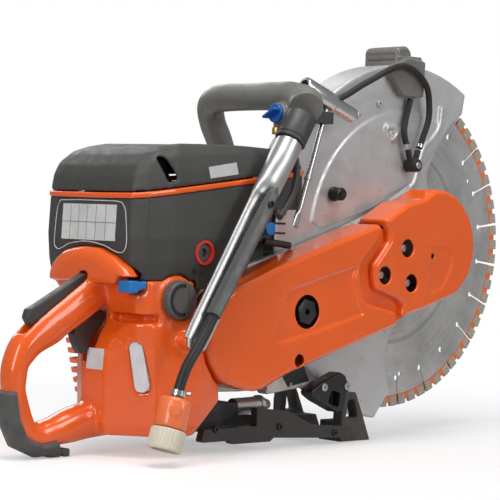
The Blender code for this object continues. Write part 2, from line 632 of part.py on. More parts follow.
def build_guard(mats, root):
    spindle_at = (SPINDLE[0], 0, SPINDLE[1])
    near, far = GUARD_Y
    shell = prism(guard_outline(GUARD_RADIUS), near, far)
    front_open = [(200 + 260 * math.cos(math.radians(a)), 232 + 260 * math.sin(math.radians(a)))
                  for a in (-96, -60, -20, 20, 58)]
    room = circle(SPINDLE, GUARD_RADIUS - GUARD_WALL, 26, GUARD_ANGLES[0] - 6, GUARD_ANGLES[1] + 6)
    cavity = prism(room + front_open, near + GUARD_WALL, far - GUARD_WALL)
    hub = rod(spindle_at, 36, near - 10, near + 10, sides=20)
    bolt_side = rod(spindle_at, 72, far - 10, far + 10, sides=20)
    far_front = prism([(200, 232), (330, 180), (330, 400), (262, 420)], far - 6, far + 6)
    shell = combine(shell, [cavity, hub, bolt_side, far_front])
    panel = circle(SPINDLE, 157, 22, 62, 172)
    panel = prism(panel + [(60, 246), (145, 272), (180, 290), (212, 305)], near - 1.2, near + 1)
    shell = join(shell, [panel])
    place("blade_guard", shell, mats["guard"], root, spindle_at)

    handle = guard_handle_mesh()
    place("guard_handle", handle, mats["warm_grey"], root, spindle_at)

    nozzle_at = Vector((203, -34.5, 325))
    body = rod(nozzle_at, 8, -17, 0, sides=16, edge=1)
    stubs = [rod(nozzle_at + Vector((dx, -8, 7)), 3.6, -5, 12, (dx, 0, 14), 8) for dx in (-5, 5)]
    place("water_nozzle", join(body, stubs), mats["black"], root, spindle_at)
    knob_at = Vector((78, -34.5, 286.5))
    knob = lathe([(0, 0), (8.5, 0), (8.5, -3), (7.5, -4.5), (7.5, -14), (5, -15), (5, -17), (0, -17)], knob_at,
                 sides=20)
    place("guard_stop_screw", knob, mats["black"], root, spindle_at)

    hose("guard_hose", GUARD_HOSE, 7.5, mats["black"], root)
    hose("nozzle_hose", NOZZLE_HOSE, 7.5, mats["black"], root)


GUARD_HOSE = [(4, -50, 386), (22, -42, 387), (45, -41, 388), (66, -42, 393), (86, -44, 402), (108, -45, 414),
              (128, -46.5, 424), (148, -48.3, 434), (169, -48.6, 441), (187, -48.6, 440), (204, -48.6, 432),
              (218, -48, 419), (225, -46, 402), (226, -45, 381), (219, -43.6, 360), (213.4, -43, 345.8)]
NOZZLE_HOSE = [(200, -38.5, 404), (195.5, -38.5, 390), (191, -39, 375), (188.5, -41, 362), (191.8, -42.6, 345.6)]


def guard_handle_mesh():
    """Block grip that straddles the guard's rim, with a wedge leg down the near side."""
    block = prism([(188.5, 431, 3), (189, 466, 6), (208, 469.5, 8), (215, 462, 6), (217, 447, 4), (217, 431, 3)],
                  -25, 32, 3, 4)
    leg = prism(rounded([(156, 434, 3), (184, 406, 3), (217, 407, 3), (219, 450, 3), (188, 452, 3), (163, 442, 3)],
                        2), -44, GUARD_Y[0] - 1.6)
    bridge = box(190, 214, -42, -20, 446.5, 455)
    grip = join(block, [bridge, leg])
    ribs = [box(180, 190.7, -20, 25, z, z + 2.2) for z in (450, 456.5, 463)]
    hose_slot = box(193.5, 206.5, -43, -30, 400, 412)
    return combine(grip, ribs + [rod((SPINDLE[0], 0, SPINDLE[1]), GUARD_RADIUS + GAP, -34.2, 13.6, sides=72),
                                 hose_slot])


# ---------------------------------------------------------------- arm and belt covers
def arm_outline(rear_radius, front_radius, low, high):
    """Long plate round the crankshaft and the spindle, in arm coordinates."""
    rear = [arm_point(rear_radius * math.cos(math.radians(a)), rear_radius * math.sin(math.radians(a)))
            for a in range(90, 271, 15)]
    front = [arm_point(ARM_LENGTH + front_radius * math.cos(math.radians(a)),
                       front_radius * math.sin(math.radians(a))) for a in range(-90, 91, 15)]
    middle_low = [arm_point(120, low), arm_point(200, low)]
    middle_high = [arm_point(200, high), arm_point(120, high)]
    return rear + middle_low + front + middle_high


def build_arm(mats, root):
    plate = prism(arm_outline(58, 55, -60, 50), COVER_BACK + GAP, ARM_BACK)
    spindle_at = (SPINDLE[0], 0, SPINDLE[1])
    bearing = rod(spindle_at, 30, ARM_BACK - 1, -19, sides=16)
    studs = [rod((x, 0, z), 5, -70, -45, sides=10) for x, z in COVER_NUTS.values()]
    plate = join(plate, [bearing] + studs)
    holes = [rod(spindle_at, 10 + GAP, -60, 0, sides=20),
             rod((CRANK[0], 0, CRANK[1]), 12 + GAP, -60, 0, sides=20),
             rod((TENSIONER[0], 0, TENSIONER[1]), 6 + GAP, -60, 0, sides=14)]
    place("cutting_arm", combine(plate, holes), mats["cast"], root)


REAR_COVER = [               # X, Z, corner radius of the rear belt cover
    (134, 138, 2), (34, 109, 0), (-41, 86, 40), (-90, 66, 40), (-140, 80, 30), (-163, 112, 30), (-158, 152, 30),
    (-130, 178, 30), (-60, 204, 30), (9, 227, 0), (96, 254, 6), (103, 247, 3), (99, 238, 3), (68, 206, 4),
    (69, 188, 4), (78, 165, 4), (88, 162, 3), (127, 154, 3)]


def cover_shell(outline, cutters, edge):
    """A belt cover: a shell open at the back, with a window in its end for the belt."""
    outer = prism(outline, COVER_OUT, COVER_BACK, edge, 0)
    pocket = prism(inset(outline, WALL), COVER_OUT + WALL, COVER_BACK + 5, max(edge - 2, 0), 0)
    belt_room = prism(belt_loop(8.0), BELT_Y[0] - 2, BELT_Y[1] + 2)
    return combine(outer, [pocket, belt_room] + cutters)


def build_belt_covers(mats, root):
    tension_hole = rod((TENSIONER[0], 0, TENSIONER[1]), 18.5, -100, -85, sides=16)
    small_hole = rod((-26, 0, 100), 7.5, -100, -85, sides=14)
    place("rear_belt_cover", cover_shell(REAR_COVER, [tension_hole, small_hole], 4), mats["orange"], root)

    front = [(105, 258, 3), (113, 246, 3), (113, 234, 4), (89, 207, 4), (90, 194, 4), (94, 179, 4),
             (132, 168, 4), (142, 160, 4), (140, 147, 2), (177, 156, 0)]
    front += [(*arm_point(ARM_LENGTH + 62.5 * math.cos(math.radians(a)), -1 + 66 * math.sin(math.radians(a))), 0)
              for a in range(-80, 81, 16)]
    front += [(170, 285, 0), (143, 279, 0)]
    nut_holes = [rod((x, 0, z), 10.5, -100, -70, sides=16) for x, z in COVER_NUTS.values()]
    tiny = rod((188, 0, 218), 3, -100, -88, sides=8)
    cover = cover_shell(front, nut_holes + [tiny], 4)
    place("front_belt_cover", cover, mats["orange"], root)
    for name, (x, z) in COVER_NUTS.items():
        nut = join(rod((x, 0, z), 9, -76, -73, sides=20), [rod((x, 0, z), 7.5, -86, -75, sides=6)])
        nut = combine(nut, [rod((x, 0, z), 3, -90, -80, sides=10)])
        sleeve = rod((x, 0, z), 5, -74, -70.4, sides=10)
        place("cover_nut_" + name, join(nut, [sleeve]), mats["black"], root)
    tensioner = join(rod((TENSIONER[0], 0, TENSIONER[1]), 6, -92, -38, sides=14),
                     [rod((TENSIONER[0], 0, TENSIONER[1]), 15, -93, -86, sides=6),
                      rod((TENSIONER[0], 0, TENSIONER[1]), 9, -86.5, -52, sides=14)])
    tensioner = combine(tensioner, [rod((TENSIONER[0], 0, TENSIONER[1]), 3.5, -96, -88, sides=6)])
    place("belt_tensioner", tensioner, mats["black"], root, (TENSIONER[0], -60, TENSIONER[1]))


# ---------------------------------------------------------------- front handle and water supply
def tube_point(t, side=0.0, forward=0.0):
    """A point on the right leg's axis, from 0 at its top to 1 at its foot, moved sideways or forward."""
    direction = (TUBE_END - TUBE_TOP).normalized()
    ahead = Vector((-direction.z, 0, direction.x)).normalized()
    return TUBE_TOP + (TUBE_END - TUBE_TOP) * t + Vector((0, side, 0)) + ahead * forward


VALVE_AT = (-45, -63, 372)
GRIP_ROUTE = [(22, 93, 322), (12, 93, 346), (0, 92, 366), (-11, 84, 383), (-18, 68, 391),
              (-20, 48, HANDLE_BAR_Z), (-20, 10, HANDLE_BAR_Z), (-20, -38, HANDLE_BAR_Z),
              (-19, -62, 391), (-19, -80, 384), tuple(TUBE_TOP + Vector((4, 0, 6)))]
GRIP_RADII = [15.5, 15.5, 15.5, 16, 16, 16, 15.5, 16, 17.5, 20.5, 19]


def build_front_handle(mats, root):
    grip = rings_to_mesh(sweep_rings(GRIP_ROUTE, [(r, r) for r in GRIP_RADII], (1, 0, 0), 12, 2))
    boss = rod(VALVE_AT, 12.5, 1, 28, (1, 0, 0), 16, edge=2)
    grip = join(grip, [boss])
    grip = combine(grip, [rod(VALVE_AT, 5.3, -10, 19, (1, 0, 0), 12),
                          rod((GRIP_ROUTE[0][0] + 5, 93, 311), 12.3, -10, 16, (-0.4, 0, 1), 16)])
    place("front_handle_grip", grip, mats["warm_grey"], root)

    down = (TUBE_END - TUBE_TOP).normalized()
    collar = lathe([(0, 4), (17.5, 4), (17.5, 37), (16.5, 38), (0, 38)], TUBE_TOP, down, 20)
    collar = combine(collar, [grip_end_cutter(), rod(VALVE_AT, 12.5 + GAP, 0, 29, (1, 0, 0), 16)])
    place("handle_collar", collar, mats["dark_grey"], root)

    rings = []
    for t, deep, wide in ((0.13, 14.5, 14.5), (0.2, 15, 14.5), (0.3, 16, 12), (0.36, 17, 8), (0.45, 17, 5.5),
                          (0.93, 17, 5), (0.97, 13, 5), (1.0, 7, 5)):
        rings.append((tube_point(t, side=(1 - 2 * 0.4) * (14.5 - wide) * 0.6), (deep, wide)))
    tube = rings_to_mesh(sweep_rings([p for p, size in rings], [size for p, size in rings], (0, 1, 0), 16, 2.2))
    place("front_handle_tube", tube, mats["silver"], root)

    left_leg = rings_to_mesh(sweep_rings(
        [(26, 93, 320), (32, 93, 290), (36, 90, 250), (32, 81, 200), (24, 65, 150), (18, 56, 120), (14, 50.5, 96),
         (10, 49, 74)], [(12, 12)] * 4 + [(9, 12), (6, 13), (4, 13), (4, 12)], (1, 0, 0), 12, 2))
    place("left_handle_leg", left_leg, mats["silver"], root)

    place("hose_channel", channel_mesh(), mats["channel_grey"], root)
    place("wrench_clip", clip_mesh(), mats["dark_grey"], root)

    x, y, z = VALVE_AT
    knob = join(rod(VALVE_AT, 10.5, -3, 0.7, (1, 0, 0), 20, edge=0.6),
                [box(x - 13, x - 2, y - 1.5, y + 1.5, z - 10.5, z + 10.5), rod(VALVE_AT, 5, 0, 17, (1, 0, 0), 12)])
    place("water_valve", knob, mats["clear_blue"], root, VALVE_AT)
    hose("valve_hose", VALVE_HOSE, 7.5, mats["black"], root)


VALVE_HOSE = [(-38, -58, 357), (-33, -62, 349), (-27, -70, 336), (-24, -76, 318), (-30, -83, 300), (-42, -91, 284),
              (-57, -98, 271), (-70, -104, 262), (-77, -107, 257.5)]


def grip_end_cutter():
    """The grip's last stretch with clearance, to cut the collar away from it."""
    path, radii = GRIP_ROUTE[-3:], GRIP_RADII[-3:]
    return rings_to_mesh(sweep_rings(path, [(r + GAP, r + GAP) for r in radii], (1, 0, 0), 12, 2))


def channel_mesh():
    """Grey cover on the flattened leg: a long box with a raised rib and an open lower end."""
    rings = []
    for t, back, ahead, out in ((0.33, -5, 0, 114), (0.36, -9, 3, 118), (0.43, -10, 4.6, 120.5),
                                (0.80, -10, 4.6, 121), (0.865, -10, 4.6, 121)):
        low = tube_point(t, 0, back)
        high = tube_point(t, 0, ahead)
        inside = -107.2
        rings.append([(low.x, inside, low.z), (high.x, inside, high.z), (high.x, -out + 5, high.z),
                      ((low.x * 2 + high.x * 3) / 5, -out, (low.z * 2 + high.z * 3) / 5),
                      (low.x, -out + 2, low.z)])
    channel = rings_to_mesh(rings)
    low_end, high_end = tube_point(0.90, -12, -2.7), tube_point(0.76, -12, -2.7)
    bore = rod(low_end, 6.3, 0, (high_end - low_end).length, high_end - low_end, 12)
    entry = rod(Vector(VALVE_HOSE[-1]) + Vector((8, 4, 5)), 4.4, 0, 30, (-0.8, -0.4, -0.5), 12)
    return combine(channel, [bore, entry])


def clip_mesh():
    """Clip that holds the wrench's shank, standing off the front of the grip."""
    at = WRENCH_CENTRE + WRENCH_SHANK * 18.5
    body = box(at.x - 24, at.x + 8, at.y - 7, at.y + 7, at.z - 9.5, at.z + 4)
    room = rod(WRENCH_CENTRE, 5.2, -10, 70, WRENCH_SHANK, 12)
    throat = box(at.x, at.x + 20, at.y - 3, at.y + 3, at.z - 14, at.z + 14)
    return combine(body, [room, throat, grip_end_cutter()])


# ---------------------------------------------------------------- wrench
WRENCH_CENTRE = Vector((41, -58, 391))
WRENCH_SHANK = Vector((-0.40, -0.11, -0.91)).normalized()
WRENCH_SOCKET = Vector((0.914, -0.131, -0.386)).normalized()


def build_wrench(mats, root):
    """Combination wrench: two sockets back to back on a long shank with a flat tip."""
    socket = lathe([(0, -39), (10.5, -39), (11.5, -37), (11.5, 6), (9, 9), (9, 37), (8, 39), (0, 39)],
                   WRENCH_CENTRE, WRENCH_SOCKET, 20)
    shank = rod(WRENCH_CENTRE, 3.0, 4, 140, WRENCH_SHANK, 12)
    collar = rod(WRENCH_CENTRE, 4.2, 96, 100, WRENCH_SHANK, 12)
    tip = rings_to_mesh(sweep_rings([WRENCH_CENTRE + WRENCH_SHANK * d for d in (138, 146, 158)],
                                    [(3.0, 3.0), (4.4, 1.6), (4.6, 0.9)], (0, 1, 0), 8, 4))
    wrench = join(socket, [shank, collar, tip])
    large = rod(WRENCH_CENTRE, 8.6, -41, -20, WRENCH_SOCKET, 6)
    small = rod(WRENCH_CENTRE, 6.4, 22, 41, WRENCH_SOCKET, 6)
    place("combination_wrench", combine(wrench, [large, small]), mats["silver"], root, WRENCH_CENTRE)


# ---------------------------------------------------------------- water supply cord
SUPPLY_ROUTE = [(-165.6, -112.8, 162.5), (-173.6, -113, 150), (-184.6, -114.4, 134), (-197, -116, 118),
                (-209.5, -116.9, 102), (-218.5, -117.5, 84), (-223.3, -118, 69.5)]
COUPLING_AXIS = Vector((-0.30, -0.03, -0.954)).normalized()


def build_supply(mats, root):
    hose("supply_hose", SUPPLY_ROUTE, 11.5, mats["black"], root)
    end = Vector(SUPPLY_ROUTE[-1])
    clamp_at = end - COUPLING_AXIS * 7
    tie = lathe([(6.6, 0), (8.4, 0), (8.4, 6), (6.6, 6)], clamp_at, COUPLING_AXIS, 16)
    lug = rod(clamp_at + COUPLING_AXIS * 3 + Vector((7, -5, 0)), 2.2, -1, 5, (0.5, -0.8, 0), 8)
    place("hose_clamp", join(tie, [lug]), mats["silver"], root)
    body = lathe([(0, GAP), (9, GAP), (15.5, 2.5), (17, 6), (17, 31), (15, 33), (10, 33.5), (0, 33.5)], end,
                 COUPLING_AXIS, 16)
    bore = rod(end, 7, 12, 40, COUPLING_AXIS, 16)
    place("hose_coupling", combine(body, [bore]), mats["coupling"], root)
    nut = lathe([(10.6, 34), (17, 34), (18.5, 36), (18.5, 54), (17, 56), (14, 56), (14, 43), (10.6, 43)], end,
                COUPLING_AXIS, 16)
    place("swivel_nut", nut, mats["ivory"], root, end + COUPLING_AXIS * 45)


# ---------------------------------------------------------------- frame and feet
FOOT_X = (86.0, 136.0)


def foot_mesh(side):
    """Pedestal foot with an arched window. side is -1 for the right foot and 1 for the left."""
    tall = prism(rounded([(86, 0, 0), (136, 0, 0), (121, 34, 8), (110, 57, 3), (89, 57, 3)], 2), -52, -37)
    window = prism(rounded([(95, 27, 2), (114, 27, 2), (108, 48, 4), (97, 50, 5)], 2), -60, -30)
    low = prism([(86, 0), (136, 0), (132, 10), (126, 23), (88, 23)], -38, -16)
    foot = combine(join(tall, [low]), [window])
    if side > 0:
        bmesh.ops.transform(foot, matrix=Matrix.Scale(-1, 4, (0, 1, 0)), verts=foot.verts)
        bmesh.ops.translate(foot, verts=foot.verts, vec=Vector((0, 12, 0)) * MM)
        bmesh.ops.recalc_face_normals(foot, faces=foot.faces)
    return foot


def build_base(mats, root):
    place("right_foot", foot_mesh(-1), mats["foot"], root)
    place("left_foot", foot_mesh(1), mats["foot"], root)
    rail = [(-138, 12, 2), (-96, 12, 2), (-92, 8, 2), (-36, 8, 2), (-30, 12, 2), (85.4, 6, 1), (85.4, 20, 1),
            (34, 22, 6), (-9, 41, 10), (-58, 46, 6), (-78, 52, 4), (-131, 36, 6)]
    right = combine(prism(rail, -62, -52), [box(-150, -57, -70, -40, 26, 70)])
    left = prism([(-138, 12), (85.4, 6), (85.4, 20), (-58, 30), (-138, 26)], 54, 64)
    bars = [box(-52, -36, -60, 60, 10, 17), box(60, 72, -60, 60, 8, 18)]
    place("support_frame", join(right, [left] + bars), mats["frame_dark"], root)
    bracket = [(20, 60, 4), (42, 72, 4), (71, 82.5, 4), (80, 78, 4), (88, 62, 2), (83, 57.5, 2), (80, 38, 3),
               (68, 36, 3), (36, 50, 4)]
    bracket = combine(prism(bracket, -64, -46.4, 1.5, 0), [
        prism(rounded([(52, 48, 2), (70, 42, 2), (72, 58, 2), (58, 62, 2)], 2), -70, -52)])
    place("foot_bracket", bracket, mats["black"], root)


# ---------------------------------------------------------------- assembly
def make_materials():
    return {
        "orange": material("orange_plastic", (0.83, 0.10, 0.012), 0.25),
        "cover": material("cover_grey", (0.066, 0.066, 0.062), 0.5),
        "grey_rubber": material("grey_rubber", (0.085, 0.083, 0.08), 0.6),
        "dark_grey": material("dark_grey_plastic", (0.06, 0.058, 0.054), 0.5),
        "warm_grey": material("warm_grey_grip", (0.19, 0.185, 0.165), 0.45),
        "channel_grey": material("channel_grey", (0.07, 0.072, 0.072), 0.4),
        "trigger": material("trigger_plastic", (0.05, 0.035, 0.03), 0.5),
        "cap_grey": material("cap_grey", (0.07, 0.07, 0.068), 0.5),
        "blue": material("blue_plastic", (0.0, 0.18, 0.60), 0.35),
        "clear_blue": material("clear_blue_plastic", (0.0, 0.10, 0.55), 0.15),
        "window": material("tank_window", (0.75, 0.76, 0.80), 0.4),
        "paper": material("filter_paper", (0.6, 0.5, 0.3), 0.9),
        "cast": material("cast_aluminium", (0.45, 0.42, 0.38), 0.55, 0.7),
        "dark_metal": material("dark_cylinder_metal", (0.05, 0.05, 0.05), 0.5, 0.6),
        "ceramic": material("ceramic", (0.8, 0.8, 0.78), 0.3),
        "silver": material("bright_aluminium", (0.62, 0.62, 0.61), 0.3, 0.9),
        "steel": material("machined_steel", (0.5, 0.5, 0.5), 0.35, 1.0),
        "blade": material("blade_steel", (0.5, 0.49, 0.47), 0.35, 0.9),
        "guard": material("painted_silver", (0.55, 0.55, 0.53), 0.4, 0.4),
        "black": material("black_rubber", (0.012, 0.012, 0.012), 0.45),
        "coupling": material("coupling_orange", (0.80, 0.15, 0.04), 0.4),
        "ivory": material("ivory_plastic", (0.66, 0.62, 0.50), 0.5),
        "foot": material("foot_grey", (0.075, 0.068, 0.058), 0.55),
        "frame_dark": material("frame_dark_grey", (0.05, 0.046, 0.04), 0.5),
    }


def main():
    for obj in list(bpy.data.objects):
        bpy.data.objects.remove(obj)
    root = bpy.data.objects.new("rescue_saw", None)
    bpy.context.scene.collection.objects.link(root)
    root.location = (-BASE_CENTRE[0] * MM, -BASE_CENTRE[1] * MM, 0)
    mats = make_materials()
    for build in (build_tank, build_handle_bumper, build_controls, build_fuel_cap, build_filter_covers,
                  build_engine, build_starter, build_drive, build_blade, build_guard, build_arm,
                  build_belt_covers, build_front_handle, build_wrench, build_supply, build_base):
        build(mats, root)


main()
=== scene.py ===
"""Looks of a rescue saw: shells, grips, disc, guard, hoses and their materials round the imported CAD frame.

Lengths are in millimetres in the saw's working axes: X forwards, Y to the left, Z up, with Y = 0 in the
middle of the rear handle. BASE_CENTRE is where the frame's origin lies in those axes.
"""
import json
import math

import bmesh
import bpy
from mathutils import Matrix, Vector


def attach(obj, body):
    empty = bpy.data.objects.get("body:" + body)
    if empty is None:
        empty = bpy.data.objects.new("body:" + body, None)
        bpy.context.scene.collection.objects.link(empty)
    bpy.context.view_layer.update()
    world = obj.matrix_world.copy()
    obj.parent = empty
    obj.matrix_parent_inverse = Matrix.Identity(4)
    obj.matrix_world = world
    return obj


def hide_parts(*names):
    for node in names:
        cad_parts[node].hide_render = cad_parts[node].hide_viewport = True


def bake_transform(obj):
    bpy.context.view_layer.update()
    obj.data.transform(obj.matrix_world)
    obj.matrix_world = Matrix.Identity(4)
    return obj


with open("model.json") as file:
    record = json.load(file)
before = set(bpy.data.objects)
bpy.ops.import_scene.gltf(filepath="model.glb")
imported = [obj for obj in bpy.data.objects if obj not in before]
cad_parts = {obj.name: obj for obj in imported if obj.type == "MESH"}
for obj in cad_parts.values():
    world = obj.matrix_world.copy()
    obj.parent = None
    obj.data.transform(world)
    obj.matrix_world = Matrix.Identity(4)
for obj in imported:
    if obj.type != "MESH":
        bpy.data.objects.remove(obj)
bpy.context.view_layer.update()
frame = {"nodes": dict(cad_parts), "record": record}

MM = 0.001
BASE_CENTRE = Vector((19.44, -1.5, 0.0))
SPINDLE = (200.0, 232.0)
BLADE_Y = -10.0              # middle plane of the disc
SLOTS = 24
COVER_OUT = -95.0            # outer face of the belt covers
GAP = 0.3                    # clearance between neighbouring pieces
TENSIONER = (-15.0, 154.0)
COVER_NUTS = {"upper": (143.5, 226.5), "lower": (152.0, 186.0), "rear": (107.0, 195.0)}
FUEL_CAP = (-191.0, 167.0)
DECOMPRESSION = (-52.5, -60.0, 244.5)
STOP_SCREW = (78, -34.5, 286.5)
TUBE_TOP = Vector((-30.0, -90.0, 372.0))
TUBE_END = Vector((-192.0, -103.0, 116.0))
TUBE_DOWN = (TUBE_END - TUBE_TOP).normalized()
VALVE_AT = Vector((-45.0, -63.0, 372.0))
GUARD_RADIUS = 213.0
GUARD_NEAR, GUARD_FAR = -33.0, 13.0      # the guard's two side faces
WRENCH_CENTRE = Vector((41, -58, 391))
WRENCH_SHANK = Vector((-0.40, -0.11, -0.91)).normalized()
WRENCH_SOCKET = Vector((0.914, -0.131, -0.386)).normalized()
VALVE_HOSE = [(-38, -58, 357), (-33, -62, 349), (-27, -70, 336), (-24, -76, 318), (-30, -83, 300),
              (-42, -91, 284), (-57, -98, 271), (-70, -104, 262), (-77, -107, 257.5)]
GUARD_HOSE = [(4, -50, 386), (22, -42, 387), (45, -41, 388), (66, -42, 393), (86, -44, 402), (108, -45, 414),
              (128, -46.5, 424), (148, -48.3, 434), (169, -48.6, 441), (187, -48.6, 440), (204, -48.6, 432),
              (218, -48, 419), (225, -46, 402), (226, -45, 381), (219, -43.6, 360), (213.4, -43, 345.8)]
NOZZLE_HOSE = [(200, -38.5, 404), (195.5, -38.5, 390), (191, -39, 375), (188.5, -41, 362),
               (191.8, -42.6, 345.6)]

BODY_OF = {node: body for body, nodes in frame["record"]["behaviour"]["bodies"].items() for node in nodes}


# ---------------------------------------------------------------- geometry in working millimetres
def polar(radius, degrees, centre=SPINDLE):
    a = math.radians(degrees)
    return (centre[0] + radius * math.cos(a), centre[1] + radius * math.sin(a))


def arc(radius, start, end, steps, centre=SPINDLE):
    return [polar(radius, start + (end - start) * k / steps, centre) for k in range(steps + 1)]


def around(count):
    """Equal angles, in radians, round a full turn."""
    return [2 * math.pi * k / count for k in range(count)]


def rounded(corners, steps=6):
    """A polygon given as (x, z, radius) corners, with each corner turned into an arc."""
    points = []
    count = len(corners)
    for i, (x, z, radius) in enumerate(corners):
        here = Vector((x, z))
        before = Vector(corners[i - 1][:2]) - here
        after = Vector(corners[(i + 1) % count][:2]) - here
        if radius <= 0:
            points.append((x, z))
            continue
        half = before.angle(after) / 2
        reach = min(radius / math.tan(half), 0.49 * before.length, 0.49 * after.length)
        start, end = before.normalized() * reach, after.normalized() * reach
        centre = (start + end).normalized() * (reach / math.cos(half))
        turn = (start - centre).angle(end - centre)
        for k in range(steps + 1):
            t = k / steps
            spoke = (start - centre) * math.sin((1 - t) * turn) + (end - centre) * math.sin(t * turn)
            points.append(tuple(here + centre + spoke / math.sin(turn)))
    return points


def area(outline):
    pairs = zip(outline, outline[1:] + outline[:1])
    return sum(a[0] * b[1] - b[0] * a[1] for a, b in pairs) / 2


def inset(outline, distance):
    """The outline moved inwards by a distance, with mitred corners whose arcs tighten or widen with it."""
    turn = 1 if area(outline) > 0 else -1
    moved = []
    for i, point in enumerate(outline):
        here = Vector(point[:2])
        a = (here - Vector(outline[i - 1][:2])).normalized()
        b = (Vector(outline[(i + 1) % len(outline)][:2]) - here).normalized()
        normal_a = Vector((-a.y, a.x)) * turn
        normal_b = Vector((-b.y, b.x)) * turn
        mitre = (normal_a + normal_b) / max(1 + normal_a.dot(normal_b), 0.35)
        bulge = 1 if a.cross(b) * turn > 0 else -1
        arc = [max(r - bulge * distance, 0.2) if r > 0 else 0 for r in point[2:]]
        moved.append((*(here + mitre * distance), *arc))
    return moved


def rings_to_mesh(rings):
    """A bmesh through equal rings of points, capped at both ends."""
    bm = bmesh.new()
    rows = [[bm.verts.new(Vector(p)) for p in ring] for ring in rings]
    for low, high in zip(rows, rows[1:]):
        for i in range(len(low)):
            j = (i + 1) % len(low)
            bm.faces.new((low[i], low[j], high[j], high[i]))
    bm.faces.new(list(reversed(rows[0])))
    bm.faces.new(rows[-1])
    bmesh.ops.remove_doubles(bm, verts=bm.verts, dist=0.005)
    bmesh.ops.recalc_face_normals(bm, faces=bm.faces)
    return bm


def quarter_turn(steps=3):
    return [math.pi / 2 * k / steps for k in range(steps + 1)]


def prism(outline, y0, y1, edge0=0.0, edge1=0.0):
    """An X-Z outline extruded along Y, with rounded edges of radius edge0 and edge1 round its two faces."""
    def levels(edge):
        if not edge:
            return [(0.0, 0.0)]
        return [(edge * (1 - math.sin(a)), edge * (1 - math.cos(a))) for a in reversed(quarter_turn())]
    stations = [(y0 + depth, amount) for depth, amount in levels(edge0)]
    stations += [(y1 - depth, amount) for depth, amount in reversed(levels(edge1))]
    rings = []
    for y, amount in stations:
        line = inset(outline, amount) if amount > 1e-6 else outline
        if len(line[0]) > 2:
            line = rounded(line)
        rings.append([(x, y, z) for x, z in line])
    return rings_to_mesh(rings)


def box(x0, x1, y0, y1, z0, z1):
    return prism([(x0, z0), (x1, z0), (x1, z1), (x0, z1)], y0, y1)


def lathe(profile, centre, axis=(0, 1, 0), sides=48):
    """A solid of revolution. The profile is a closed loop of (radius, height) about the axis."""
    axis = Vector(axis).normalized()
    side = axis.orthogonal().normalized()
    other = axis.cross(side)
    bm = bmesh.new()
    columns = []
    for radius, height in profile:
        base = Vector(centre) + axis * height
        if radius <= 0:
            columns.append([bm.verts.new(base)])
            continue
        columns.append([bm.verts.new(base + (side * math.cos(a) + other * math.sin(a)) * radius)
                        for a in around(sides)])
    hollow = all(radius > 0 for radius, height in profile)
    pairs = list(zip(columns, columns[1:])) + ([(columns[-1], columns[0])] if hollow else [])
    for low, high in pairs:
        for i in range(sides):
            j = (i + 1) % sides
            corners = [low[i % len(low)], low[j % len(low)], high[j % len(high)], high[i % len(high)]]
            corners = list(dict.fromkeys(corners))
            if len(corners) > 2:
                bm.faces.new(corners)
    bmesh.ops.recalc_face_normals(bm, faces=bm.faces)
    return bm


def rod(centre, radius, h0, h1, axis=(0, 1, 0), sides=48, edge=0.0):
    """A cylinder with rounded edges."""
    if not edge:
        return lathe([(0, h0), (radius, h0), (radius, h1), (0, h1)], centre, axis, sides)
    low = [(radius - edge + edge * math.sin(a), h0 + edge - edge * math.cos(a)) for a in quarter_turn()]
    high = [(radius - edge + edge * math.cos(a), h1 - edge + edge * math.sin(a)) for a in quarter_turn()]
    return lathe([(0, h0)] + low + high + [(0, h1)], centre, axis, sides)


def smooth_route(points, step):
    """Points about one step apart on a Catmull-Rom curve through the given points."""
    pts = [Vector(p) for p in points]
    pts = [2 * pts[0] - pts[1]] + pts + [2 * pts[-1] - pts[-2]]
    route = []
    for p0, p1, p2, p3 in zip(pts, pts[1:], pts[2:], pts[3:]):
        count = max(1, round((p2 - p1).length / step))
        for k in range(count):
            t = k / count
            route.append(0.5 * (2 * p1 + (p2 - p0) * t + (2 * p0 - 5 * p1 + 4 * p2 - p3) * t ** 2
                                + (3 * p1 - p0 - 3 * p2 + p3) * t ** 3))
    route.append(pts[-2])
    return route


def smooth_values(values, points, step):
    """Sizes at each point of smooth_route, blended between the given ones."""
    pts = [Vector(p) for p in points]
    out = []
    for (v1, p1), (v2, p2) in zip(zip(values, pts), zip(values[1:], pts[1:])):
        count = max(1, round((p2 - p1).length / step))
        for k in range(count):
            t = k / count
            t = t * t * (3 - 2 * t)
            out.append(tuple(a + (b - a) * t for a, b in zip(v1, v2)))
    out.append(tuple(values[-1]))
    return out


def sweep(path, sizes, across, sides, power):
    """A rounded section carried along a path; sizes holds (half depth, half width) at each point."""
    across = Vector(across)
    rings = []
    for i, point in enumerate(path):
        tangent = (path[min(i + 1, len(path) - 1)] - path[max(i - 1, 0)]).normalized()
        normal = across.cross(tangent).normalized()
        width = tangent.cross(normal)
        deep, wide = sizes[i]
        ring = []
        for a in around(sides):
            c, s = math.cos(a), math.sin(a)
            u = math.copysign(abs(c) ** (2 / power), c) * deep
            v = math.copysign(abs(s) ** (2 / power), s) * wide
            ring.append(Vector(point) + normal * u + width * v)
        rings.append(ring)
    return rings_to_mesh(rings)


def smooth_sweep(points, sizes, step, across, sides, power):
    """A sweep along the smooth curve through the points, with its sizes blended between them."""
    return sweep(smooth_route(points, step), smooth_values(sizes, points, step), across, sides, power)


def tube(points, radius, step, sides):
    """A round tube along a smooth route, with its section carried round without twisting."""
    route = smooth_route(points, step)
    first = (route[1] - route[0]).normalized()
    normal = first.orthogonal().normalized()
    rings = []
    for i, point in enumerate(route):
        tangent = (route[min(i + 1, len(route) - 1)] - route[max(i - 1, 0)]).normalized()
        normal = (normal - tangent * normal.dot(tangent)).normalized()
        other = tangent.cross(normal)
        rings.append([point + (normal * math.cos(a) + other * math.sin(a)) * radius
                      for a in around(sides)])
    return rings_to_mesh(rings)


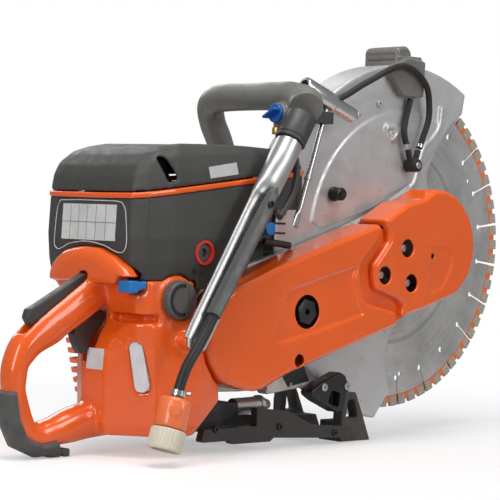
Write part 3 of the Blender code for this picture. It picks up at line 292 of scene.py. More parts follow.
def add_object(name, bm, mat=None, sharp=180.0):
    """A linked object from a bmesh, which is used up."""
    mesh = bpy.data.meshes.new(name)
    bm.to_mesh(mesh)
    bm.free()
    if mat:
        mesh.materials.append(mat)
        mesh.shade_smooth()
    if sharp < 180:
        mesh.set_sharp_from_angle(angle=math.radians(sharp))
    obj = bpy.data.objects.new(name, mesh)
    bpy.context.scene.collection.objects.link(obj)
    return obj


def settle(obj):
    """The object's modifiers applied, as a bmesh; the object itself is used up."""
    bpy.context.view_layer.update()
    graph = bpy.context.evaluated_depsgraph_get()
    result = bpy.data.meshes.new_from_object(obj.evaluated_get(graph))
    bm = bmesh.new()
    bm.from_mesh(result)
    old = obj.data
    bpy.data.objects.remove(obj)
    bpy.data.meshes.remove(old)
    bpy.data.meshes.remove(result)
    return bm


def combine(base, tools, operation="DIFFERENCE"):
    """The base bmesh joined with, or cut by, each tool in turn. All of them are used up."""
    for tool in tools:
        target, cutter = add_object("work", base), add_object("work", tool)
        modifier = target.modifiers.new("boolean", "BOOLEAN")
        modifier.object = cutter
        modifier.operation = operation
        modifier.solver = "EXACT"
        base = settle(target)
        mesh = cutter.data
        bpy.data.objects.remove(cutter)
        bpy.data.meshes.remove(mesh)
    return base


def join(base, tools):
    return combine(base, tools, "UNION")


def gather(*parts):
    """Several closed solids in one bmesh, left as they are."""
    bm = bmesh.new()
    for part in parts:
        mesh = bpy.data.meshes.new("work")
        part.to_mesh(mesh)
        part.free()
        bm.from_mesh(mesh)
        bpy.data.meshes.remove(mesh)
    return bm


def cad(node):
    """A CAD node's closed solid as a bmesh in working millimetres."""
    bm = bmesh.new()
    bm.from_mesh(frame["nodes"][node].data)
    for v in bm.verts:
        v.co = v.co / MM + BASE_CENTRE
    bmesh.ops.remove_doubles(bm, verts=bm.verts, dist=0.002)
    bmesh.ops.recalc_face_normals(bm, faces=bm.faces)
    return bm


def mould(bm, voxel, relax):
    """Melts a solid into one even skin whose edges have the small radii of a moulding."""
    obj = add_object("work", bm)
    skin = obj.modifiers.new("skin", "REMESH")
    skin.mode = "VOXEL"
    skin.voxel_size = voxel
    skin.adaptivity = 0
    ease = obj.modifiers.new("ease", "SMOOTH")
    ease.factor = 0.5
    ease.iterations = relax
    return settle(obj)


def bevelled(bm, width):
    """Small round edges on a crisp solid."""
    obj = add_object("work", bm)
    bevel = obj.modifiers.new("bevel", "BEVEL")
    bevel.width = width
    bevel.segments = 2
    bevel.limit_method = "ANGLE"
    bevel.angle_limit = math.radians(35)
    return settle(obj)


def to_frame(bm):
    """From working millimetres to metres in the frame."""
    for v in bm.verts:
        v.co = (v.co - BASE_CENTRE) * MM
    return bm


def piece(name, bm, mat, body="saw", replaces=(), sharp=30.0):
    """Makes a named object from a bmesh in working millimetres and lets it ride on a body."""
    obj = add_object(name, to_frame(bm), MAT[mat], sharp)
    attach(obj, body)
    if replaces:
        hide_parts(*replaces)
    return obj


# ---------------------------------------------------------------- materials
class Shader:
    """A small builder for one Principled material with procedural colour, roughness and relief."""

    def __init__(self, name, colour, roughness, metallic=0.0, **sockets):
        self.mat = bpy.data.materials.new(name)
        self.mat.use_nodes = True
        self.tree = self.mat.node_tree
        self.bsdf = self.tree.nodes["Principled BSDF"]
        self.colour = colour
        self.bsdf.inputs["Base Color"].default_value = (*colour, 1.0)
        self.bsdf.inputs["Roughness"].default_value = roughness
        self.bsdf.inputs["Metallic"].default_value = metallic
        for socket, value in sockets.items():
            self.bsdf.inputs[socket.replace("_", " ")].default_value = value
        self.coords = self.node("ShaderNodeTexCoord").outputs["Object"]
        self.normal = None

    def node(self, kind, **values):
        made = self.tree.nodes.new(kind)
        for key, value in values.items():
            setattr(made, key, value)
        return made

    def link(self, output, socket):
        self.tree.links.new(output, socket)
        return self

    def noise(self, scale, detail=4.0, vector=None, roughness=0.55):
        made = self.node("ShaderNodeTexNoise")
        made.inputs["Scale"].default_value = scale
        made.inputs["Detail"].default_value = detail
        made.inputs["Roughness"].default_value = roughness
        self.link(vector or self.coords, made.inputs["Vector"])
        return made.outputs["Fac"]

    def ramp(self, value, low, high, start=0.35, end=0.65):
        made = self.node("ShaderNodeMapRange")
        made.inputs["From Min"].default_value = start
        made.inputs["From Max"].default_value = end
        made.inputs["To Min"].default_value = low
        made.inputs["To Max"].default_value = high
        self.link(value, made.inputs["Value"])
        return made.outputs["Result"]

    def mix(self, factor, first, second):
        """Colour mix; first and second are colours or sockets."""
        made = self.node("ShaderNodeMix", data_type="RGBA")
        self.link(factor, made.inputs[0])
        for value, socket in ((first, made.inputs[6]), (second, made.inputs[7])):
            if isinstance(value, tuple):
                socket.default_value = (*value, 1.0)
            else:
                self.link(value, socket)
        return made.outputs[2]

    def math(self, operation, a, b=0.0):
        made = self.node("ShaderNodeMath", operation=operation)
        for value, socket in ((a, made.inputs[0]), (b, made.inputs[1])):
            if isinstance(value, (int, float)):
                socket.default_value = value
            else:
                self.link(value, socket)
        return made.outputs[0]

    def paint(self, output):
        return self.link(output, self.bsdf.inputs["Base Color"])

    def mottle(self, scale, amount):
        """Slow light and dark variation of the colour."""
        dark = tuple(c * (1 - amount) for c in self.colour)
        light = tuple(min(1.0, c * (1 + amount)) for c in self.colour)
        self.paint(self.mix(self.ramp(self.noise(scale, 5.0), 0.0, 1.0), dark, light))
        return self

    def dusty(self, low, high, scale):
        """Roughness that wanders between two values, like handled and dusty places."""
        self.link(self.ramp(self.noise(scale, 7.0, roughness=0.65), low, high), self.bsdf.inputs["Roughness"])
        return self

    def relief(self, height, strength, distance):
        """Adds a height to the surface normal; distance is in millimetres."""
        bump = self.node("ShaderNodeBump")
        bump.inputs["Strength"].default_value = strength
        bump.inputs["Distance"].default_value = distance * MM
        self.link(height, bump.inputs["Height"])
        if self.normal:
            self.link(self.normal, bump.inputs["Normal"])
        self.normal = bump.outputs["Normal"]
        self.link(self.normal, self.bsdf.inputs["Normal"])
        return self

    def grain(self, size, strength, distance):
        """Moulded or blasted texture with features of about the given size in millimetres."""
        return self.relief(self.noise(1.0 / (size * MM), 2.0), strength, distance)

    def scratches(self, depth):
        return self.relief(self.ramp(self.noise(480.0, 3.0), 0.0, 1.0, 0.3, 0.7), depth, 0.03)


def gloss_plastic(name, colour, roughness):
    """Shiny injection-moulded shell: faint orange peel and handled patches."""
    s = Shader(name, colour, roughness, Coat_Weight=0.5, Coat_Roughness=0.06, Specular_IOR_Level=0.5)
    s.mottle(12.0, 0.035).dusty(roughness - 0.05, roughness + 0.09, 22.0)
    return s.grain(8.0, 0.03, 0.12).mat


def grained_plastic(name, colour, roughness=0.55, size=0.55, depth=0.05):
    """Matt shell with the fine spark-eroded texture of a tool housing."""
    s = Shader(name, colour, roughness, Specular_IOR_Level=0.45)
    s.mottle(30.0, 0.10).dusty(roughness - 0.10, roughness + 0.12, 70.0)
    return s.grain(size, 0.35, depth).mat


def rubber(name, colour, roughness=0.62):
    s = Shader(name, colour, roughness, Specular_IOR_Level=0.35, Sheen_Weight=0.08, Sheen_Roughness=0.5)
    s.mottle(50.0, 0.16).dusty(roughness - 0.12, roughness + 0.14, 110.0)
    return s.grain(0.35, 0.35, 0.03).grain(3.0, 0.15, 0.06).mat


def cast_metal(name, colour, roughness, metallic):
    """Pressure die casting: pebbled skin with darker hollows."""
    s = Shader(name, colour, roughness, metallic)
    dark = tuple(c * 0.62 for c in colour)
    light = tuple(min(1.0, c * 1.15) for c in colour)
    blotch = s.ramp(s.noise(70.0, 8.0, roughness=0.7), 0.0, 1.0, 0.3, 0.6)
    s.paint(s.mix(blotch, dark, light))
    s.dusty(roughness - 0.12, roughness + 0.15, 140.0)
    return s.grain(1.1, 0.5, 0.08).grain(0.3, 0.3, 0.02).mat


def bright_metal(name, colour, roughness):
    """Drawn or satin-polished aluminium and steel, with fine handling marks."""
    s = Shader(name, colour, roughness, 1.0)
    s.mottle(40.0, 0.04).dusty(roughness - 0.04, roughness + 0.09, 35.0)
    return s.scratches(0.012).mat


def painted_metal(name, colour, roughness, metallic):
    """Silver lacquer over pressed sheet, with metal flake."""
    s = Shader(name, colour, roughness, metallic, Coat_Weight=0.15, Coat_Roughness=0.25)
    flake = s.ramp(s.noise(2600.0, 1.0), 0.0, 1.0, 0.35, 0.7)
    slow = s.ramp(s.noise(14.0, 5.0), 0.0, 0.5, 0.3, 0.7)
    tone = s.math("ADD", s.math("MULTIPLY", flake, 0.5), slow)
    s.paint(s.mix(tone, tuple(c * 0.88 for c in colour), tuple(min(1.0, c * 1.10) for c in colour)))
    s.dusty(roughness - 0.07, roughness + 0.12, 60.0)
    return s.grain(1.6, 0.10, 0.03).mat


def disc_steel():
    """Ground disc: rings of grinding marks about the spindle, stains and a darker band."""
    s = Shader("disc_steel", (0.52, 0.51, 0.49), 0.34, 0.85, Anisotropic=0.35)
    split = s.node("ShaderNodeSeparateXYZ")
    s.link(s.coords, split.inputs[0])
    x = s.math("SUBTRACT", split.outputs["X"], (SPINDLE[0] - BASE_CENTRE.x) * MM)
    z = s.math("SUBTRACT", split.outputs["Z"], SPINDLE[1] * MM)
    radius = s.math("SQRT", s.math("ADD", s.math("MULTIPLY", x, x), s.math("MULTIPLY", z, z)))
    angle = s.math("ARCTAN2", z, x)
    polar_place = s.node("ShaderNodeCombineXYZ")
    s.link(s.math("MULTIPLY", radius, 1600.0), polar_place.inputs["X"])
    s.link(s.math("MULTIPLY", angle, 1.6), polar_place.inputs["Y"])
    rings = s.noise(1.0, 6.0, polar_place.outputs["Vector"], 0.7)
    stain = s.noise(22.0, 8.0, roughness=0.7)
    shade = s.math("ADD", s.math("MULTIPLY", rings, 0.7), s.math("MULTIPLY", stain, 0.5))
    colour = s.mix(s.ramp(shade, 0.0, 1.0, 0.42, 0.78), (0.42, 0.415, 0.405), (0.78, 0.77, 0.75))
    band = s.math("MULTIPLY", s.ramp(radius, 0.0, 1.0, 0.1186, 0.1192),
                  s.ramp(radius, 1.0, 0.0, 0.1238, 0.1244))
    s.paint(s.mix(s.math("MULTIPLY", band, 0.35), colour, (0.25, 0.25, 0.25)))
    s.link(s.ramp(shade, 0.24, 0.44, 0.3, 0.8), s.bsdf.inputs["Roughness"])
    return s.relief(rings, 0.25, 0.03).mat


def translucent(name, colour, roughness, weight):
    s = Shader(name, colour, roughness, Transmission_Weight=weight, IOR=1.49)
    s.mottle(60.0, 0.08)
    return s.grain(1.2, 0.15, 0.03).mat


def paper():
    s = Shader("filter_paper", (0.6, 0.5, 0.3), 0.9)
    s.mottle(200.0, 0.1)
    pleat = s.node("ShaderNodeTexWave", wave_type="BANDS", bands_direction="X")
    pleat.inputs["Scale"].default_value = 60.0
    s.link(s.coords, pleat.inputs["Vector"])
    return s.relief(pleat.outputs["Fac"], 0.8, 1.5).mat


def diamond_segment():
    """Sintered cutting segment: coarse grit in a tan bond."""
    s = Shader("diamond_segment", (0.46, 0.41, 0.34), 0.6, 0.35)
    grit = s.ramp(s.noise(1500.0, 3.0), 0.0, 1.0, 0.4, 0.62)
    s.paint(s.mix(grit, (0.30, 0.26, 0.21), (0.58, 0.53, 0.45)))
    return s.grain(0.6, 0.7, 0.15).mat


def braided():
    """Black hose sleeve with a fine woven relief; its lighter threads are a painted sheen."""
    s = Shader("braided_sleeve", (0.030, 0.030, 0.030), 0.42, Specular_IOR_Level=0.6)
    weave_and_painted_sheen = s.ramp(s.noise(1400.0, 2.0), 0.0, 1.0, 0.42, 0.58)
    # Painted sheen: the weave's lighter threads stand in for light caught by the braid; the same weave also drives
    # the relief.
    s.paint(s.mix(weave_and_painted_sheen, (0.012, 0.012, 0.012), (0.075, 0.075, 0.075)))
    return s.relief(weave_and_painted_sheen, 0.5, 0.12).mat


MAT = {
    "orange": gloss_plastic("orange_plastic", (0.80, 0.108, 0.009), 0.2),
    "cover": grained_plastic("cover_grey", (0.050, 0.049, 0.045), 0.56),
    "grey_rubber": rubber("grey_rubber", (0.075, 0.073, 0.07)),
    "dark_grey": grained_plastic("dark_grey_plastic", (0.045, 0.044, 0.042), 0.45, 0.4),
    "warm_grey": grained_plastic("warm_grey_grip", (0.165, 0.157, 0.142), 0.33, 0.8, 0.03),
    "channel_grey": grained_plastic("channel_grey", (0.085, 0.087, 0.087), 0.38, 0.8, 0.03),
    "trigger": grained_plastic("trigger_plastic", (0.035, 0.026, 0.023), 0.42, 0.5),
    "cap_grey": grained_plastic("cap_grey", (0.085, 0.083, 0.077), 0.45, 0.5),
    "blue": gloss_plastic("blue_plastic", (0.003, 0.165, 0.50), 0.32),
    "clear_blue": translucent("clear_blue_plastic", (0.02, 0.22, 0.75), 0.12, 0.55),
    "window": translucent("tank_window", (0.80, 0.80, 0.82), 0.35, 0.25),
    "paper": paper(),
    "cast": cast_metal("cast_aluminium", (0.56, 0.53, 0.49), 0.5, 0.55),
    "dark_metal": cast_metal("dark_cylinder_metal", (0.06, 0.06, 0.06), 0.45, 0.6),
    "ceramic": gloss_plastic("ceramic", (0.8, 0.8, 0.78), 0.2),
    "silver": bright_metal("bright_aluminium", (0.58, 0.58, 0.57), 0.33),
    "chrome": bright_metal("polished_steel", (0.60, 0.61, 0.61), 0.24),
    "steel": bright_metal("machined_steel", (0.5, 0.5, 0.5), 0.35),
    "disc": disc_steel(),
    "segment": diamond_segment(),
    "guard": painted_metal("painted_silver", (0.60, 0.60, 0.595), 0.34, 0.5),
    "gullet": gloss_plastic("segment_paint", (0.75, 0.15, 0.03), 0.45),
    "tan": grained_plastic("tan_plastic", (0.36, 0.27, 0.15), 0.5),
    "braid": braided(),
    "black": rubber("black_rubber", (0.014, 0.014, 0.014), 0.45),
    "black_metal": painted_metal("black_coated_steel", (0.012, 0.012, 0.012), 0.4, 0.2),
    "coupling": gloss_plastic("coupling_orange", (0.80, 0.16, 0.04), 0.38),
    "ivory": grained_plastic("ivory_plastic", (0.60, 0.56, 0.44), 0.45, 0.9),
    "foot": rubber("foot_grey", (0.06, 0.055, 0.048), 0.55),
    "frame_dark": painted_metal("frame_dark_grey", (0.035, 0.032, 0.028), 0.5, 0.2),
    "brass": bright_metal("brass", (0.65, 0.45, 0.16), 0.3),
    "red": gloss_plastic("red_ring", (0.65, 0.03, 0.02), 0.35),
    "label_line": grained_plastic("label_line", (0.16, 0.17, 0.18), 0.4, 2.0, 0.01),
    "label": grained_plastic("label_film", (0.60, 0.60, 0.59), 0.35, 2.0, 0.01),
}


# ---------------------------------------------------------------- stage, light and camera
FLOOR_RADIUS = 9.0           # metres, as are the lights' places and sizes
FLOOR_DROP = 0.0006
CAMERA_AT = Vector((-1528.60, -1619.36, 257.61))
AZIMUTH, ELEVATION, ROLL = (math.radians(degrees) for degrees in (-43.0, 1.0, 2.0))


def build_stage():
    """A white floor whose middle takes the soft shadow and whose far part glows like the studio behind."""
    s = Shader("studio_floor", (0.90, 0.90, 0.90), 0.6, Specular_IOR_Level=0.2)
    reach = s.node("ShaderNodeVectorMath", operation="LENGTH")
    s.link(s.coords, reach.inputs[0])
    fade = s.ramp(reach.outputs["Value"], 0.40, 1.0, 0.36, 0.95)
    fade.node.interpolation_type = "SMOOTHSTEP"
    glow = s.node("ShaderNodeEmission")
    seen = s.node("ShaderNodeLightPath").outputs["Is Camera Ray"]
    s.link(s.ramp(seen, 0.30, 1.0, 0.0, 1.0), glow.inputs["Strength"])
    mix = s.node("ShaderNodeMixShader")
    for output, socket in zip((fade, s.bsdf.outputs["BSDF"], glow.outputs["Emission"]), mix.inputs):
        s.link(output, socket)
    s.link(mix.outputs["Shader"], s.tree.nodes["Material Output"].inputs["Surface"])
    bm = bmesh.new()
    bmesh.ops.create_circle(bm, cap_ends=True, segments=96, radius=FLOOR_RADIUS)
    floor = add_object("studio_floor", bm, s.mat)
    floor.location.z = -FLOOR_DROP


def soft_light(name, place, size, power):
    """A rectangular lamp aimed at the middle of the saw."""
    light = bpy.data.lights.new(name, "AREA")
    light.shape = "RECTANGLE"
    light.size, light.size_y = size
    light.energy = power
    obj = bpy.data.objects.new(name, light)
    bpy.context.scene.collection.objects.link(obj)
    obj.location = place
    aim = Vector((0.0, 0.0, 0.2)) - Vector(place)
    obj.rotation_euler = aim.to_track_quat("-Z", "Y").to_euler()


def build_light():
    """A white world to the camera, a dim one to everything else, and four soft lamps."""
    world = bpy.data.worlds.new("studio")
    bpy.context.scene.world = world
    world.use_nodes = True
    tree = world.node_tree
    background = tree.nodes["Background"]
    path = tree.nodes.new("ShaderNodeLightPath")
    mix = tree.nodes.new("ShaderNodeMix")
    mix.data_type = "RGBA"
    mix.inputs[6].default_value = (0.26, 0.265, 0.275, 1.0)
    mix.inputs[7].default_value = (1.0, 1.0, 1.0, 1.0)
    tree.links.new(path.outputs["Is Camera Ray"], mix.inputs[0])
    tree.links.new(mix.outputs[2], background.inputs["Color"])
    soft_light("top", (-0.35, -0.45, 2.1), (1.5, 1.1), 33.0)
    soft_light("left_front", (-2.4, -0.7, 1.1), (0.7, 1.7), 25.0)
    soft_light("right_front", (0.7, -2.5, 1.2), (0.7, 1.6), 20.0)
    soft_light("back", (0.6, 2.3, 1.5), (1.8, 1.0), 18.0)
    bpy.context.scene.view_settings.view_transform = "Standard"


def build_camera():
    data = bpy.data.cameras.new("camera")
    data.lens = 140.1
    data.sensor_width = 36.0
    camera = bpy.data.objects.new("camera", data)
    bpy.context.scene.collection.objects.link(camera)
    level_right = Vector((math.cos(AZIMUTH), math.sin(AZIMUTH), 0.0))
    back = Vector((math.sin(AZIMUTH) * math.cos(ELEVATION), -math.cos(AZIMUTH) * math.cos(ELEVATION),
                   math.sin(ELEVATION)))
    level_up = back.cross(level_right)
    right = level_right * math.cos(ROLL) + level_up * math.sin(ROLL)
    up = level_up * math.cos(ROLL) - level_right * math.sin(ROLL)
    turn = Matrix((right, up, back)).transposed()
    camera.matrix_world = Matrix.Translation((CAMERA_AT - BASE_CENTRE) * MM) @ turn.to_4x4()
    bpy.context.scene.camera = camera


# ---------------------------------------------------------------- moulded shells from the CAD solids
def moulded(node, mat, voxel, relax, cuts=(), adds=()):
    """A CAD node's solid with finer features cut in or added, as one skin with small radii."""
    bm = combine(join(cad(node), adds), cuts)
    return crisp(node, mould(bm, voxel, relax), mat, 180.0)


def crisp(node, bm, mat, sharp=30.0):
    """A finer solid that stands for a CAD node and rides on the same body."""
    return piece(node + "_skin", bm, mat, BODY_OF[node], (node,), sharp)


def screw(name, at, mat, radius, body="saw"):
    """A socket screw's head with its hexagonal recess, facing right."""
    facing = (0, -1, 0)
    head = rod(at, radius, -1.0, 2.2, facing, 32, 0.6)
    piece(name, combine(head, [rod(at, radius * 0.5, 0.6, 4, facing, 6)]), mat, body)


def build_shells():
    build_tank()
    moulded("handle_bumper", "grey_rubber", 1.0, 8)
    moulded("filter_cover", "cover", 1.6, 20, cuts=[intake_slot()])
    moulded("cover_seal", "orange", 0.9, 2, adds=[seal_band()])
    moulded("filter_base", "cover", 1.3, 4)
    moulded("starter_housing", "orange", 1.2, 3)
    moulded("crankcase", "cast", 1.4, 5)
    moulded("cutting_arm", "cast", 1.8, 4)
    moulded("rear_belt_cover", "orange", 1.3, 4, cuts=rear_cover_grooves())
    moulded("front_belt_cover", "orange", 1.1, 4, cuts=front_cover_grooves())
    moulded("hose_channel", "channel_grey", 0.8, 6)
    moulded("left_handle_leg", "silver", 1.3, 10)
    moulded("guard_handle", "warm_grey", 0.9, 3, cuts=guard_handle_grooves())
    moulded("right_foot", "foot", 0.9, 3)
    moulded("left_foot", "foot", 0.9, 3)
    moulded("foot_bracket", "black_metal", 0.8, 3)
    moulded("throttle_lockout", "dark_grey", 0.7, 4)
    moulded("throttle_trigger", "trigger", 0.6, 5)
    moulded("choke_button", "blue", 0.6, 3)
    build_muffler()
    moulded("wrench_clip", "dark_grey", 0.6, 3)


HANDLE_LOOP = [              # X, Z, half depth, half width from the tank round to the tank
    (-226, 186, 21, 18), (-262, 161, 20.5, 17), (-299, 137, 19.5, 16), (-328, 118, 16, 15.5),
    (-342, 98, 12.5, 15), (-344, 72, 11.5, 14), (-338, 46, 14, 14), (-329, 28, 14, 14),
    (-314, 22, 14, 14), (-296, 25, 15, 15), (-262, 33, 19, 17), (-215, 42, 22, 20)]


def build_tank():
    """The tank with its rear handle, whose loop is swept in finer steps and keeps its two control slots."""
    points = [(x, 0, z) for x, z, deep, wide in HANDLE_LOOP]
    sizes = [(deep, wide) for x, z, deep, wide in HANDLE_LOOP]
    loop = smooth_sweep(points, sizes, 5.0, (0, 1, 0), 36, 2.4)
    trigger_room = box(-287, -228, -8, 8, 98, 157.5)
    lockout_room = prism([(-339, 128), (-327, 126), (-255, 171), (-237, 188), (-247, 200), (-327, 152)],
                         -6.5, 6.5)
    loop = combine(loop, [trigger_room, lockout_room])
    skin = mould(gather(cad("rear_handle_tank"), loop), 1.5, 24)
    crisp("rear_handle_tank", skin, "orange", 180.0)


def build_muffler():
    """Dark silencer box with a bright outlet pipe."""
    body = prism([(-128, 20, 5), (-62, 26, 5), (-62, 50, 5), (-128, 56, 5)], -38, 30, 2, 2)
    crisp("muffler", body, "dark_metal", 40.0)
    pipe = lathe([(0, -2), (9.5, -2), (9.5, 33.6), (10.4, 34), (11, 34.6), (11, 39.4), (10.4, 40),
                  (9.5, 40.6), (5, 52), (0, 52)], (-63, -30, 45), (1, 0, 0.02), 64)
    piece("muffler_pipe", pipe, "silver")


def intake_slot():
    """The air intake in the right shoulder of the filter cover."""
    return prism([(-220.5, 316, 3), (-210.5, 316.5, 3), (-196, 292.5, 1.5), (-208, 290.5, 1.5)], -90, -58)


def seal_band():
    """The orange band between the two cover shells, standing a little proud of both."""
    outline = [(-245, 66), (-248, 0), (-244, -60), (-232, -74), (-200, -78), (-110, -77), (-90, -75), (-66, -72),
               (-8, -64), (6, -56), (7, -41), (-19, -38), (-20, 0), (-19, 40), (-28, 62), (-66, 80), (-90, 90),
               (-200, 97), (-229, 94), (-241, 83)]

    def ring(grow, lift):
        return [(x, y, 275 + 0.135 * (x + 241) + lift) for x, y in inset(outline, -grow)]
    return combine(rings_to_mesh([ring(0.9, -2.9), ring(1.3, -1.5), ring(1.3, 1.5), ring(0.9, 2.9)]),
                   [rings_to_mesh([ring(-3.5, -8), ring(-3.5, 8)])])


def groove(points, width, bottom):
    """A shallow channel along an X-Z line, cut into a belt cover's face as far as bottom."""
    left, right = [], []
    for i, point in enumerate(points):
        here = Vector(point)
        ahead = (Vector(points[min(i + 1, len(points) - 1)]) - Vector(points[max(i - 1, 0)])).normalized()
        side = Vector((-ahead.y, ahead.x)) * width / 2
        left.append(tuple(here + side))
        right.append(tuple(here - side))
    return prism(left + right[::-1], COVER_OUT - 5, bottom)


def pocket(outline, deep, slope):
    """A shallow recess in a belt cover's face, with sloping sides."""
    low = rounded(inset(outline, slope), 5)
    high = rounded(inset(outline, -slope * 0.3), 5)
    rings = [[(x, COVER_OUT + deep, z) for x, z in low], [(x, COVER_OUT, z) for x, z in rounded(outline, 5)],
             [(x, COVER_OUT - 6, z) for x, z in high]]
    return rings_to_mesh(rings)


def rear_cover_grooves():
    """The recessed panel, the arc round the tensioner and the lines in the rear belt cover's face."""
    panel = [(-64, 117, 8), (-59, 151, 14), (-41, 181, 14), (16, 196, 6), (63, 208, 4), (57, 190, 4), (66, 162, 5),
             (77, 150, 4), (3, 131, 6)]
    deep = COVER_OUT + 2.2 + 0.4
    return [pocket(panel, 1.9, 3.0),
            groove(arc(23.5, -30, 38, 16, TENSIONER), 1.0, deep),
            groove(arc(24.5, 150, 215, 16, TENSIONER), 1.0, deep)]


def front_cover_grooves():
    """The outlined panel round the nuts and the shallow recess over the front pulley."""
    lines = [[(96, 206), (123, 227), (158, 236.5)], [(174, 232), (173.5, 205), (172.5, 176)],
             [(160, 164), (130, 172), (97, 180)]]
    recess = [(183, 231, 6), (212, 231, 16), (225, 222, 12), (224, 206, 10), (208, 178, 12), (182, 172, 6)]
    return [groove(line, 1.2, COVER_OUT + 0.9) for line in lines] + [pocket(recess, 1.3, 5.0)]


def guard_handle_grooves():
    """Grip ribs on the guard handle's rear and right faces."""
    return [box(x, x + 1.8, -30, -23.8, 436, 463) for x in (195, 200, 205, 210)]


# ---------------------------------------------------------------- disc and guard
def ring_sector(inner, outer, start, end, steps):
    """An X-Z outline between two radii and two angles about the spindle."""
    return arc(outer, start, end, steps) + arc(inner, end, start, steps)


CORE_RADIUS = 187.2
DISC_RADIUS = 200.0
SLOT_HALF = 0.42             # half the slot's width, in degrees at the rim
KEYHOLE = 3.6
TEETH = 3                    # on each segment
TOOTH_GAP = 1.9              # degrees


def build_disc():
    """Steel core with keyhole slots, and sintered segments of a few teeth each."""
    pitch = 360 / SLOTS
    outline = []
    for slot in range(SLOTS):
        middle = (slot + 0.5) * pitch
        hole = polar(166.5, middle)
        outline.append(polar(CORE_RADIUS - 0.4, middle - SLOT_HALF))
        for k in range(13):
            a = math.radians(middle - 20 - 320 * k / 12)
            outline.append((hole[0] + KEYHOLE * math.cos(a), hole[1] + KEYHOLE * math.sin(a)))
        outline.append(polar(CORE_RADIUS - 0.4, middle + SLOT_HALF))
        outline += [polar(CORE_RADIUS, middle + SLOT_HALF + (pitch - 2 * SLOT_HALF) * k / 6)
                    for k in range(1, 6)]
    core = prism(outline, BLADE_Y - 1.5, BLADE_Y + 1.5)
    holes = [rod((SPINDLE[0], 0, SPINDLE[1]), 10.3, -30, 10)]
    holes += [rod((polar(163, a)[0], 0, polar(163, a)[1]), 3, -30, 10, sides=24) for a in (29, -80)]
    crisp("cutting_blade", combine(core, holes), "disc")
    rims, teeth = [], []
    for slot in range(SLOTS):
        first, last = slot * pitch - pitch / 2 + 0.5, slot * pitch + pitch / 2 - 0.5
        rims.append(prism(ring_sector(186.6, 195.6, first, last, 8), BLADE_Y - 1.65, BLADE_Y + 1.65))
        width = (last - first - (TEETH - 1) * TOOTH_GAP) / TEETH
        for k in range(TEETH):
            start = first + k * (width + TOOTH_GAP)
            tooth = ring_sector(188.2, DISC_RADIUS, start, start + width, 3)
            teeth.append(prism(tooth, BLADE_Y - 1.8, BLADE_Y + 1.8))
    piece("disc_gullets", gather(*rims), "gullet", "blade")
    piece("disc_teeth", gather(*teeth), "segment", "blade")


def guard_line(radius):
    """The guard's outline: round the disc at the back, then down its wavy front edge."""
    front = [(189, 56), (183, 74), (179, 92), (182, 110), (190, 130), (206, 160), (222, 190), (234, 212),
             (240, 232), (245, 251), (246, 270), (245, 289), (242, 308), (242.5, 318), (247, 328), (253, 339),
             (261, 350), (271, 363), (281, 376), (302, 392)]
    return arc(radius, 60, 260, 110) + front


def build_guard():
    """Painted sheet guard with rolled rim, raised panel, ridge and boss."""
    near, far, wall = GUARD_NEAR, GUARD_FAR, 2.5
    centre = (SPINDLE[0], 0, SPINDLE[1])
    shell = prism(guard_line(GUARD_RADIUS), near, far, 2.2, 2.2)
    room = arc(GUARD_RADIUS - wall, 54, 266, 110) + [polar(260, a) for a in (-96, -60, -20, 20, 58)]
    cavity = prism(room, near + wall, far - wall)
    shell = combine(shell, [cavity, rod(centre, 36, near - 10, near + 10, sides=72),
                            rod(centre, 72, far - 10, far + 10, sides=72),
                            prism([SPINDLE, (330, 180), (330, 400), (262, 420)], far - 6, far + 6)])
    panel = prism(arc(157, 62, 172, 60) + [(60, 246), (145, 272), (180, 290), (212, 305)],
                  near - 1.3, near + 1, 0.9, 0)
    ridge = smooth_route([(262, 0, 398), (259, 0, 374), (246, 0, 358), (231, 0, 345), (221, 0, 314),
                          (211, 0, 298), (178, 0, 279)], 3.0)
    ridge = sweep(ridge, [(4.5, 3.2)] * len(ridge), (0, 1, 0), 20, 2)
    bmesh.ops.translate(ridge, verts=ridge.verts, vec=(0, near + 0.4, 0))
    boss = prism([(157, 373, 6), (180, 374, 6), (191, 366, 5), (174, 349, 5), (164, 358, 5)],
                 near - 4.5, near + 1, 3.6, 0)
    hollow = prism([(160, 366, 4), (175, 367, 4), (181, 363, 4), (171, 354, 4)], near - 8, near - 2.4)
    shell = join(shell, [panel, ridge, combine(boss, [hollow])])
    crisp("blade_guard", mould(shell, 1.35, 3), "guard", 180.0)
    for k, (x, z) in enumerate(((173, 361), (150, 396), (116, 380))):
        screw(f"guard_rivet_{k}", (x, near - 1.2, z), "guard", 3.4 if k else 4.4, "guard")


# ---------------------------------------------------------------- turned and fastened pieces
def build_flange():
    flange = lathe([(10.3, -7.7), (34, -7.7), (34, -5.6), (33, -5), (21, -2), (10.3, -2)],
                   (SPINDLE[0], 0, SPINDLE[1]), sides=96)
    crisp("outer_flange", flange, "steel")


def build_cover_nuts():
    """Three flanged nuts, each on its stud."""
    for name, (x, z) in COVER_NUTS.items():
        at = (x, 0, z)
        washer = rod(at, 9, -76, -73, sides=48, edge=0.5)
        head = bevelled(rod(at, 7.5, -86, -75, sides=6), 0.6)
        head = combine(join(washer, [head]), [rod(at, 3.2, -92, -80, sides=32)])
        piece("cover_stud_" + name, rod(at, 4.4, -88.4, -80, sides=32, edge=0.6), "chrome")
        crisp("cover_nut_" + name, join(head, [rod(at, 5, -74, -70.4, sides=32)]), "black_metal")


def build_tensioner():
    at = (TENSIONER[0], 0, TENSIONER[1])
    head = bevelled(rod(at, 15, -93, -86, sides=6), 0.8)
    shank = join(rod(at, 6, -92, -38), [rod(at, 13.5, -87.2, -84.5, edge=0.5), rod(at, 9, -86.5, -52)])
    socket = rod(at, 3.8, -96, -88, sides=6)
    crisp("belt_tensioner", combine(join(head, [shank]), [socket]), "black_metal")


def rods_around(centre, reach, count, radius, y0, y1):
    """Thin rods along Y, evenly round a centre, that cut knurls and flutes."""
    x, z = centre
    return gather(*(rod((x + reach * math.cos(a), 0, z + reach * math.sin(a)), radius, y0, y1, sides=8)
                    for a in around(count)))


